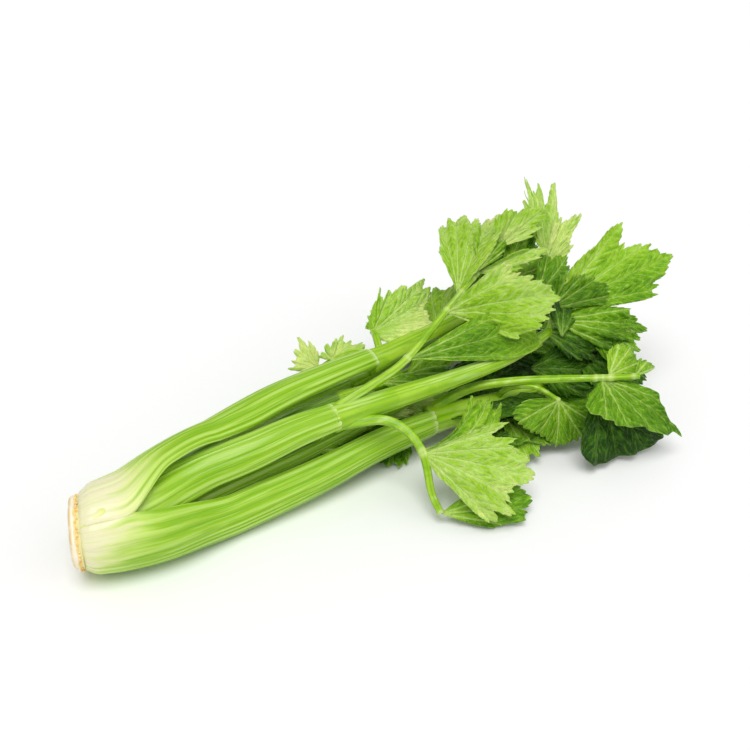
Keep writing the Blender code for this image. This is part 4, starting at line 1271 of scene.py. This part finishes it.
def finish(tree, shader, colour, height, distance, strength, roughness=None):
    """Gives a shader its colour, its bump and, where that varies, its roughness."""
    plug(tree, colour, shader.inputs["Base Color"])
    if roughness is not None:
        plug(tree, roughness, shader.inputs["Roughness"])
    bump = result_of(tree, "ShaderNodeBump", {"Height": height, "Distance": distance, "Strength": strength})
    plug(tree, bump, shader.inputs["Normal"])


print("shader groups:", FIBRES.name, MOTTLE.name)

# %% [markdown]
# Stalk finish. A stalk is cream white where it grew under the soil line, then pale yellow-green, then a
# bright green. It stays pale further along on the upper side. Grooves between the ribs are darker, partly in
# their own green and partly as painted shade, the crests carry a painted highlight in places, and the joint
# rings are pale. The surface is smooth and moist, with fine lengthwise fibres in its bump.

# %% Stalk and stem materials
COLOUR_START, COLOUR_END = -0.094, 0.05
GREEN_FROM, GREEN_FULL = -0.085, -0.035
PALE_TOP = 0.75
PALE_HEIGHT = 0.037
WHITE_FOOT, CREAM_FOOT, PALE_FOOT = (0.84, 0.80, 0.52), (0.74, 0.80, 0.32), (0.52, 0.72, 0.12)
YELLOW_GREEN, BRIGHT_GREEN, DEEP_GREEN = (0.35, 0.58, 0.022), (0.31, 0.54, 0.012), (0.32, 0.56, 0.016)
# The next colour is painted shade: the dark green at the far ends of the heart stalks, which lie in shadow
# among the outer stalks.
HEART_SHADE_GREEN = (0.11, 0.27, 0.004)
# The groove colours on this line and the next are partly the grooves' own darker green and partly painted
# shade in the recesses between the ribs.
GROOVE_GREEN_AND_SHADE, INNER_GREEN = (0.17, 0.41, 0.004), (0.46, 0.68, 0.10)
HEART_GROOVE_AND_SHADE, HEART_INNER = (0.10, 0.26, 0.004), (0.46, 0.66, 0.10)
# The first colour on the next line is a painted highlight for the rib crests.
CREST_HIGHLIGHT_GREEN, FIBRE_GREEN = (0.56, 0.78, 0.22), (0.56, 0.78, 0.18)
HAIRLINE_TAN, RING_PALE = (0.58, 0.48, 0.22), (0.70, 0.83, 0.34)
MOIST = {"Subsurface_Weight": 0.1, "Subsurface_Scale": 0.003, "Subsurface_Radius": (0.6, 1.0, 0.2),
         "Coat_Weight": 0.07, "Coat_Roughness": 0.1}


def stalk_material(name, stops, groove_and_shade_colour, inner_colour, groove_share):
    made, tree, shader = new_material(name, Roughness=0.3, **MOIST)
    place = add_node(tree, "ShaderNodeTexCoord").outputs
    fibres = use_group(tree, FIBRES, {"UV": place["UV"]})
    broad, fine = fibres["Broad"], fibres["Fine"]
    x, _, z = parts_of(tree, place["Object"])
    x = x - (z - PALE_HEIGHT) * PALE_TOP + (mottled(tree, 22.0) - 0.5) * 0.03 + (broad - 0.5) * 0.05
    green = x.eased(GREEN_FROM, GREEN_FULL, 0.05, 1.0)
    groove = attribute(tree, "groove")
    colour = layered(
        tree, ramp(tree, x.eased(COLOUR_START, COLOUR_END, kind="LINEAR"), stops),
        # Painted shade, with the grooves' own darker green, in the grooves between the ribs.
        (groove * (green * groove_share), groove_and_shade_colour),
        # Painted highlight: paler green on the rib crests, in broad patches.
        (groove.eased(0.0, 0.3, 1.0, 0.0) * (broad.eased(0.62, 0.40) * (green * 0.5)), CREST_HIGHLIGHT_GREEN),
        (broad.eased(0.48, 0.64) * (green * 0.5), groove_and_shade_colour),
        (fine.eased(0.52, 0.66) * 0.35, FIBRE_GREEN),
        (fine.eased(0.34, 0.28) * (1.0 - green) * 0.35, HAIRLINE_TAN),
        (attribute(tree, "inside") * 0.35, inner_colour),
        (attribute(tree, "ring") * 0.85, RING_PALE))
    finish(tree, shader, colour, fine, 0.0004, 0.5, fine.eased(0.2, 0.8, 0.22, 0.40))
    return made


stalk_green = stalk_material("celery_stalk", (
    (0.0, WHITE_FOOT), (0.08, WHITE_FOOT), (0.16, CREAM_FOOT), (0.24, PALE_FOOT), (0.33, YELLOW_GREEN),
    (0.52, BRIGHT_GREEN), (1.0, DEEP_GREEN)), GROOVE_GREEN_AND_SHADE, INNER_GREEN, 0.8)
# The heart stalks darken toward their far ends as painted shade.
heart_green = stalk_material("celery_heart_shaded", (
    (0.0, WHITE_FOOT), (0.2, CREAM_FOOT), (0.4, PALE_FOOT), (0.6, YELLOW_GREEN), (1.0, HEART_SHADE_GREEN)),
    HEART_GROOVE_AND_SHADE, HEART_INNER, 0.7)
STEM_GREEN, STEM_BRIGHT = (0.31, 0.55, 0.012), (0.42, 0.66, 0.04)
STEM_DARK, STEM_PALE = (0.16, 0.40, 0.004), (0.58, 0.78, 0.22)
# The first colour on the next line is partly the leaf stems' own darker green in their grooves and partly
# painted shade there.
STEM_GROOVE_AND_SHADE, STEM_RING = (0.14, 0.36, 0.004), (0.66, 0.78, 0.28)
# Noise per metre along X, Y and Z, which draws the streaks out along the stems.
STREAK_RATES = (14, 210, 210)


def stem_material():
    made, tree, shader = new_material("celery_leaf_stem", **MOIST)
    mottle = mottled(tree, 45.0)
    place = add_node(tree, "ShaderNodeTexCoord").outputs["Object"]
    streak = noise(tree, result_of(tree, "ShaderNodeVectorMath", {0: place, 1: STREAK_RATES},
                                   operation="MULTIPLY"), 1.0)
    colour = layered(
        tree, mix_colour(tree, mottle.eased(0.35, 0.65), STEM_GREEN, STEM_BRIGHT),
        (streak.eased(0.52, 0.66) * 0.6, STEM_DARK),
        (streak.eased(0.46, 0.34) * 0.6, STEM_PALE),
        # Grooves: their own darker green, and painted shade.
        (attribute(tree, "groove") * 0.75, STEM_GROOVE_AND_SHADE),
        (attribute(tree, "ring") * 0.6, STEM_RING))
    finish(tree, shader, colour, streak, 0.0005, 0.5, mottle.eased(0.3, 0.7, 0.22, 0.36))
    return made


stem_green = stem_material()
print("stalk, heart and stem materials made")

# %% [markdown]
# Leaf finish. The main and side veins are pale lines, and between them a fine net of veins and a fan of
# rays give the blade its grain. They come from the leaf's UV map and its stored distances off and along the
# nearest main vein. The side veins follow the rule that made the blade bulge, with a little wander. Each
# leaf has its own tone, which is set dark as painted shade for leaflets that lie in shadow, and its lower
# face is a little duller.

# %% Vein group and leaf material
def vein_group():
    tree, given, result = new_shader_group(
        "leaf_veins", (("UV", "NodeSocketVector", None), ("Off", "NodeSocketFloat", 0.0),
                       ("Along", "NodeSocketFloat", 0.0)),
        "Main veins", "Side veins", "Net", "Rays", "Between")
    uv, off, along = given["UV"], given["Off"], given["Along"]
    main = 1.0 - off / along.eased(0.0, 75.0, 1.0, 0.25)
    wander = (noise(tree, uv, 9.0, 2.0) - 0.5) * 11.0
    phase = (along - off * VEIN_SLOPE + wander) / VEIN_SPACING
    distance = ((phase + 0.5).maths("FRACT") - 0.5).maths("ABSOLUTE") * VEIN_SPACING
    fading = (off / along).eased(0.25, 0.6, 1.0, 0.15)
    cells = add_node(tree, "ShaderNodeTexVoronoi", {"Vector": uv, "Scale": 42.0}, feature="DISTANCE_TO_EDGE")
    x, y, _ = parts_of(tree, uv)
    fan = result_of(tree, "ShaderNodeCombineXYZ", {
        "X": y.maths("ARCTAN2", x) * 26.0, "Y": (x * x + y * y).maths("SQRT") * 14.0})
    for label, value in (("Main veins", main.eased(0.0, 0.6)),
                         ("Side veins", distance.eased(0.1, 0.7, 1.0, 0.0) * fading),
                         ("Net", Value(tree, cells.outputs["Distance"]).eased(0.0, 0.14, 1.0, 0.0)),
                         ("Rays", noise(tree, fan, 1.0, 3.0, 0.6)),
                         ("Between", distance.eased(0.3, 2.6) * off.eased(0.4, 3.0, 0.2, 1.0))):
        plug(tree, value, result[label])
    return tree


VEINS = vein_group()
# The dark end of this ramp is painted shade, for leaflets whose tone is set low because they lie in shadow.
LEAF_TONES = ((0.0, (0.012, 0.048, 0.002)), (0.2, (0.055, 0.165, 0.002)), (0.45, (0.150, 0.350, 0.003)),
              (0.65, (0.315, 0.560, 0.020)), (0.82, (0.450, 0.670, 0.140)), (1.0, (0.720, 0.840, 0.260)))
VEIN_PALE, LEAF_UNDER = (0.62, 0.80, 0.24), (0.20, 0.38, 0.03)


def leaf_material():
    made, tree, shader = new_material("celery_leaf", Specular_IOR_Level=0.14, Subsurface_Weight=0.25,
                                      Subsurface_Scale=0.002, Subsurface_Radius=(0.5, 1.0, 0.1))
    veins = use_group(tree, VEINS, {
        "UV": add_node(tree, "ShaderNodeTexCoord").outputs["UV"],
        "Off": attribute(tree, "vein_off"), "Along": attribute(tree, "vein_along")})
    mottle, fine, grit, patches = (mottled(tree, size) for size in (30.0, 220.0, 700.0, 13.0))
    # The tone value is set low as painted shade for leaflets that lie in shadow.
    tone = attribute(tree, "tone") * 0.9
    for grain, strength in ((mottle, 0.45), (patches, 0.7), (fine, 0.25), (veins["Rays"], 0.55), (grit, 0.2)):
        tone = tone + (grain - 0.5) * strength
    tone = tone + (0.35 - veins["Between"]) * 0.10
    colour = ramp(tree, tone, LEAF_TONES)
    pale = mix_colour(tree, tone.eased(0.1, 0.65, 0.12, 0.7), colour, VEIN_PALE)
    colour = layered(
        tree, colour, (veins["Net"] * 0.14, pale), (veins["Side veins"] * 0.5, pale),
        (veins["Main veins"] * 0.85, pale), (attribute(tree, "rim").eased(0.975, 1.0, 0.0, 0.5), pale),
        (attribute(tree, "under") * 0.2, LEAF_UNDER))
    raised = veins["Side veins"] * 0.7 + veins["Main veins"] + veins["Net"] * 0.3
    for grain, strength in ((fine, -0.8), (grit, -0.5), (veins["Rays"], -0.7), (veins["Between"], -0.6)):
        raised = raised + grain * strength
    finish(tree, shader, colour, raised, -0.0006, 0.8, mottle.eased(0.3, 0.7, 0.30, 0.48))
    return made


leaf_green = leaf_material()
print("vein group and leaf material made")

# %% [markdown]
# Root finish. The cut face is cream with faint rings and a tan edge. Round its side runs a band that starts
# cream at the cut and ends amber, with a ragged border, where it meets the stalks.

# %% Material of the cut root
CUT_CREAM, CUT_WHITE = (0.93, 0.82, 0.58), (0.97, 0.93, 0.78)
CUT_SPOTS, CUT_EDGE = (0.86, 0.66, 0.36), (0.72, 0.50, 0.20)
ROOT_BAND = ((0.0, (0.92, 0.86, 0.66)), (0.50, (0.93, 0.88, 0.70)), (0.62, (0.90, 0.70, 0.34)),
             (0.84, (0.86, 0.62, 0.22)), (0.95, (0.80, 0.76, 0.36)))


def crown_material():
    made, tree, shader = new_material("cut_root", Roughness=0.6, Subsurface_Weight=0.1,
                                      Subsurface_Scale=0.003)
    mottle = mottled(tree, 160.0)
    rings = add_node(tree, "ShaderNodeTexWave", {
        "Vector": add_node(tree, "ShaderNodeTexCoord").outputs["UV"], "Scale": 1.9, "Distortion": 3.0,
        "Detail": 3.0}, wave_type="RINGS", rings_direction="SPHERICAL").outputs["Fac"]
    edge = attribute(tree, "radial").eased(0.86, 0.97) * mottle.eased(0.3, 0.6, 0.2, 0.8)
    ragged = attribute(tree, "deep") + (mottle - 0.5) * 0.7
    colour = layered(
        tree, mix_colour(tree, rings, CUT_CREAM, CUT_WHITE), (mottle.eased(0.55, 0.8), CUT_SPOTS),
        (edge, CUT_EDGE), (attribute(tree, "side"), ramp(tree, ragged, ROOT_BAND)))
    finish(tree, shader, colour, mottle, 0.0009, 0.6)
    return made


cut_root = crown_material()
print("root material made")

# %% [markdown]
# Small pieces. One tree puts a ball of its own size at each point it is given. The cut end has a ring of
# amber beads of dried sap near its seam, and clear drops of water lie on the leaflet at the far right.
# A short young shoot lies on the white foot, made by the same tree as the side stems.

# %% Sap beads, water drops and young shoot
def bead_tree():
    tree, given, result = new_geometry_tree("beads", (
        ("Detail", "NodeSocketInt", 2), ("Material", "NodeSocketMaterial", None)))
    ball = result_of(tree, "GeometryNodeMeshIcoSphere", {"Radius": 1.0, "Subdivisions": given["Detail"]})
    placed = result_of(tree, "GeometryNodeInstanceOnPoints", {
        "Points": given["Geometry"], "Instance": ball, "Scale": named(tree, "size")})
    return end_tree(tree, placed, given["Material"], result)


BEADS = bead_tree()


def bead_mesh(name, points, sizes, surface, detail):
    source = points_mesh(name, points, {"size": np.array(sizes) * MM})
    return evaluate_tree(name, source, BEADS, {"Detail": detail, "Material": surface})


def speckled_material(name, size, first, second, relief, **constants):
    made, tree, shader = new_material(name, **constants)
    mottle = mottled(tree, size)
    finish(tree, shader, mix_colour(tree, mottle.eased(0.35, 0.65), first, second), mottle, relief, 0.5)
    return made


SAP_BEADS = 58
SAP_DEPTH = 4.7
SAP_SIZES = (0.35, 0.95)
DROPS = 16
DROP_SIZES = (0.35, 0.85)
DROP_LEAF = 8
random_of_beads = random.Random(21)


def sap_points():
    axis, flat, upright, centre = crown_axes()
    points, sizes = [], []
    for i in range(SAP_BEADS):
        turn = 2 * math.pi * (i + random_of_beads.uniform(-0.3, 0.3)) / SAP_BEADS
        deep = SAP_DEPTH + random_of_beads.uniform(-0.7, 0.5)
        points.append(centre + deep * axis + (CROWN_RADIUS - 0.1)
                      * (math.cos(turn) * flat + math.sin(turn) * upright))
        sizes.append(random_of_beads.uniform(*SAP_SIZES))
    return points, sizes


def drop_points():
    """Places on the upper face of one leaflet, away from its base and rim."""
    spec = FRONDS["front"]["leaves"][DROP_LEAF]
    points, _, _, values = leaflet("front_%d" % DROP_LEAF, spec, random.Random(5))
    upper = np.nonzero((values["under"] < 0.5) & (values["rim"] > 0.3) & (values["rim"] < 0.9))[0]
    chosen = random_of_beads.sample(list(upper), DROPS)
    return points[chosen], [random_of_beads.uniform(*DROP_SIZES) for _ in chosen]


sap_amber = speckled_material("dried_sap", 400.0, (0.86, 0.50, 0.10), (0.92, 0.76, 0.36), 0.0003,
                              Roughness=0.35, Subsurface_Weight=0.3, Subsurface_Scale=0.001)
shoot_green = speckled_material("young_shoot", 120.0, (0.76, 0.80, 0.26), (0.86, 0.86, 0.44), 0.0004,
                                Roughness=0.4, Subsurface_Weight=0.15, Subsurface_Scale=0.002)
clear_water = new_material("water_drop", Roughness=0.02, IOR=1.33, Transmission_Weight=1.0)[0]
sap_beads = bead_mesh("sap_beads", *sap_points(), sap_amber, 2)
water_drops = bead_mesh("water_drops", *drop_points(), clear_water, 3)
SHOOT_LINE = ((-48, -15.4, 46.4), (-44.5, -16.2, 48.0), (-40, -16.6, 49.8), (-35, -16.2, 51.4),
              (-30, -14.6, 53.2))
SHOOT_THICKNESS = (0.8, 1.8, 2.3, 3.0, 1.2)
shoot_line = smooth_route(SHOOT_LINE, 6)
shoot_steps = np.linspace(0, len(SHOOT_LINE) - 1, len(shoot_line))
shoot_thickness = np.interp(shoot_steps, range(len(SHOOT_LINE)), SHOOT_THICKNESS) * MM
shoot_path = points_mesh("young_shoot", shoot_line, {"thickness": shoot_thickness}, joined=True)
young_shoot = evaluate_tree("young_shoot", shoot_path, RIBBED_STEM, {"Material": shoot_green})
small_pieces = (sap_beads, water_drops, young_shoot)
print("faces of beads, drops and shoot:", [len(mesh.polygons) for mesh in small_pieces])

# %% [markdown]
# Placing the pieces. Each finished mesh already lies where its solid does, so its object stays at the origin.
# It rides on the one body and takes the place of its solid.

# %% Pieces in place of the solids
def place_piece(name, mesh, surface, slot, *nodes):
    mesh.materials.clear()
    mesh.materials.append(surface)
    piece = bpy.data.objects.new(name, mesh)
    bpy.context.scene.collection.objects.link(piece)
    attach(piece, "root")
    if nodes:
        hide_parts(*nodes)
    return piece


place_piece("cut_crown", crown, cut_root, "root_cream", "crown")
place_piece("sap_beads", sap_beads, sap_amber, "root_cream")
place_piece("water_drops", water_drops, clear_water, "leaf_green")
place_piece("young_shoot", young_shoot, shoot_green, "heart_green")
for name, mesh in stalk_meshes.items():
    heart = STALKS[name]["ring"] == "heart"
    place_piece("ribbed_stalk_" + name, mesh, heart_green if heart else stalk_green,
                "heart_green" if heart else "stalk_green", "stalk_" + name)
for name, frond in FRONDS.items():
    solid = "leaves_" + name
    place_piece("leaf_stem_" + name, leaf_stem_meshes[name], stem_green, "leaf_green", solid)
    for i, (route, first_radius, last_radius) in enumerate(frond["branches"]):
        stem_name = "side_stem_%s_%d" % (name, i)
        stem = side_stem_mesh(stem_name, frond, route, first_radius, last_radius, stem_green)
        place_piece(stem_name, stem, stem_green, "leaf_green", solid)
    for i, mesh in enumerate(blade_meshes[name]):
        place_piece("blades_%s_%d" % (name, i), mesh, leaf_green, "leaf_green", solid)
print("pieces placed")

# %% [markdown]
# The floor, the lights and the camera. A plain pale floor and large soft lights give the picture its even,
# bright look. The camera looks down at the head from its front left.

# %% Floor, lights and camera
def floor():
    bpy.ops.mesh.primitive_plane_add(size=30)
    ground = bpy.context.object
    ground.name = "pale_floor"
    surface, _, shader = new_material("pale_floor", Roughness=0.9)
    shader.inputs["Base Color"].default_value = (0.93, 0.93, 0.93, 1)
    ground.data.materials.append(surface)
    ground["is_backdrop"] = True


def soft_sun(name, direction, strength, spread):
    """Even light from one side of the studio, as from a large soft box far away."""
    lamp = bpy.data.lights.new(name, "SUN")
    lamp.energy = strength
    lamp.angle = math.radians(spread)
    thing = bpy.data.objects.new(name, lamp)
    bpy.context.scene.collection.objects.link(thing)
    thing.rotation_euler = Vector(direction).to_track_quat("-Z", "Y").to_euler()


floor()
soft_sun("key_light", (0.25, 0.30, -0.92), 1.85, 36)
soft_sun("fill_light", (-0.55, 0.55, -0.63), 0.55, 60)
sky = bpy.data.worlds.new("white_studio")
sky.use_nodes = True
sky.node_tree.nodes["Background"].inputs["Color"].default_value = (1, 1, 1, 1)
sky.node_tree.nodes["Background"].inputs["Strength"].default_value = 0.46
bpy.context.scene.world = sky
bpy.context.scene.view_settings.view_transform = "Standard"

LENS = 62.4
eye = bpy.data.cameras.new("camera")
eye.lens = LENS
eye.sensor_width = 36
camera = bpy.data.objects.new("camera", eye)
bpy.context.scene.collection.objects.link(camera)
right, up = Vector(CAMERA_RIGHT), Vector(CAMERA_UP)
turned = Matrix((right, up, right.cross(up))).transposed().to_4x4()
camera.matrix_world = Matrix.Translation(CAMERA_PLACE) @ turned
bpy.context.scene.camera = camera
print("camera looks along", tuple(round(v, 3) for v in -right.cross(up)))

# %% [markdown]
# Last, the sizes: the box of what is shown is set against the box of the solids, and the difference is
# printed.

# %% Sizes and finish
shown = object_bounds()
larger = [[round((a - b) * 1000, 2) for a, b in zip(*pair)] for pair in zip(shown, CAD_BOX)]
print("shown box is larger by", larger, "mm")
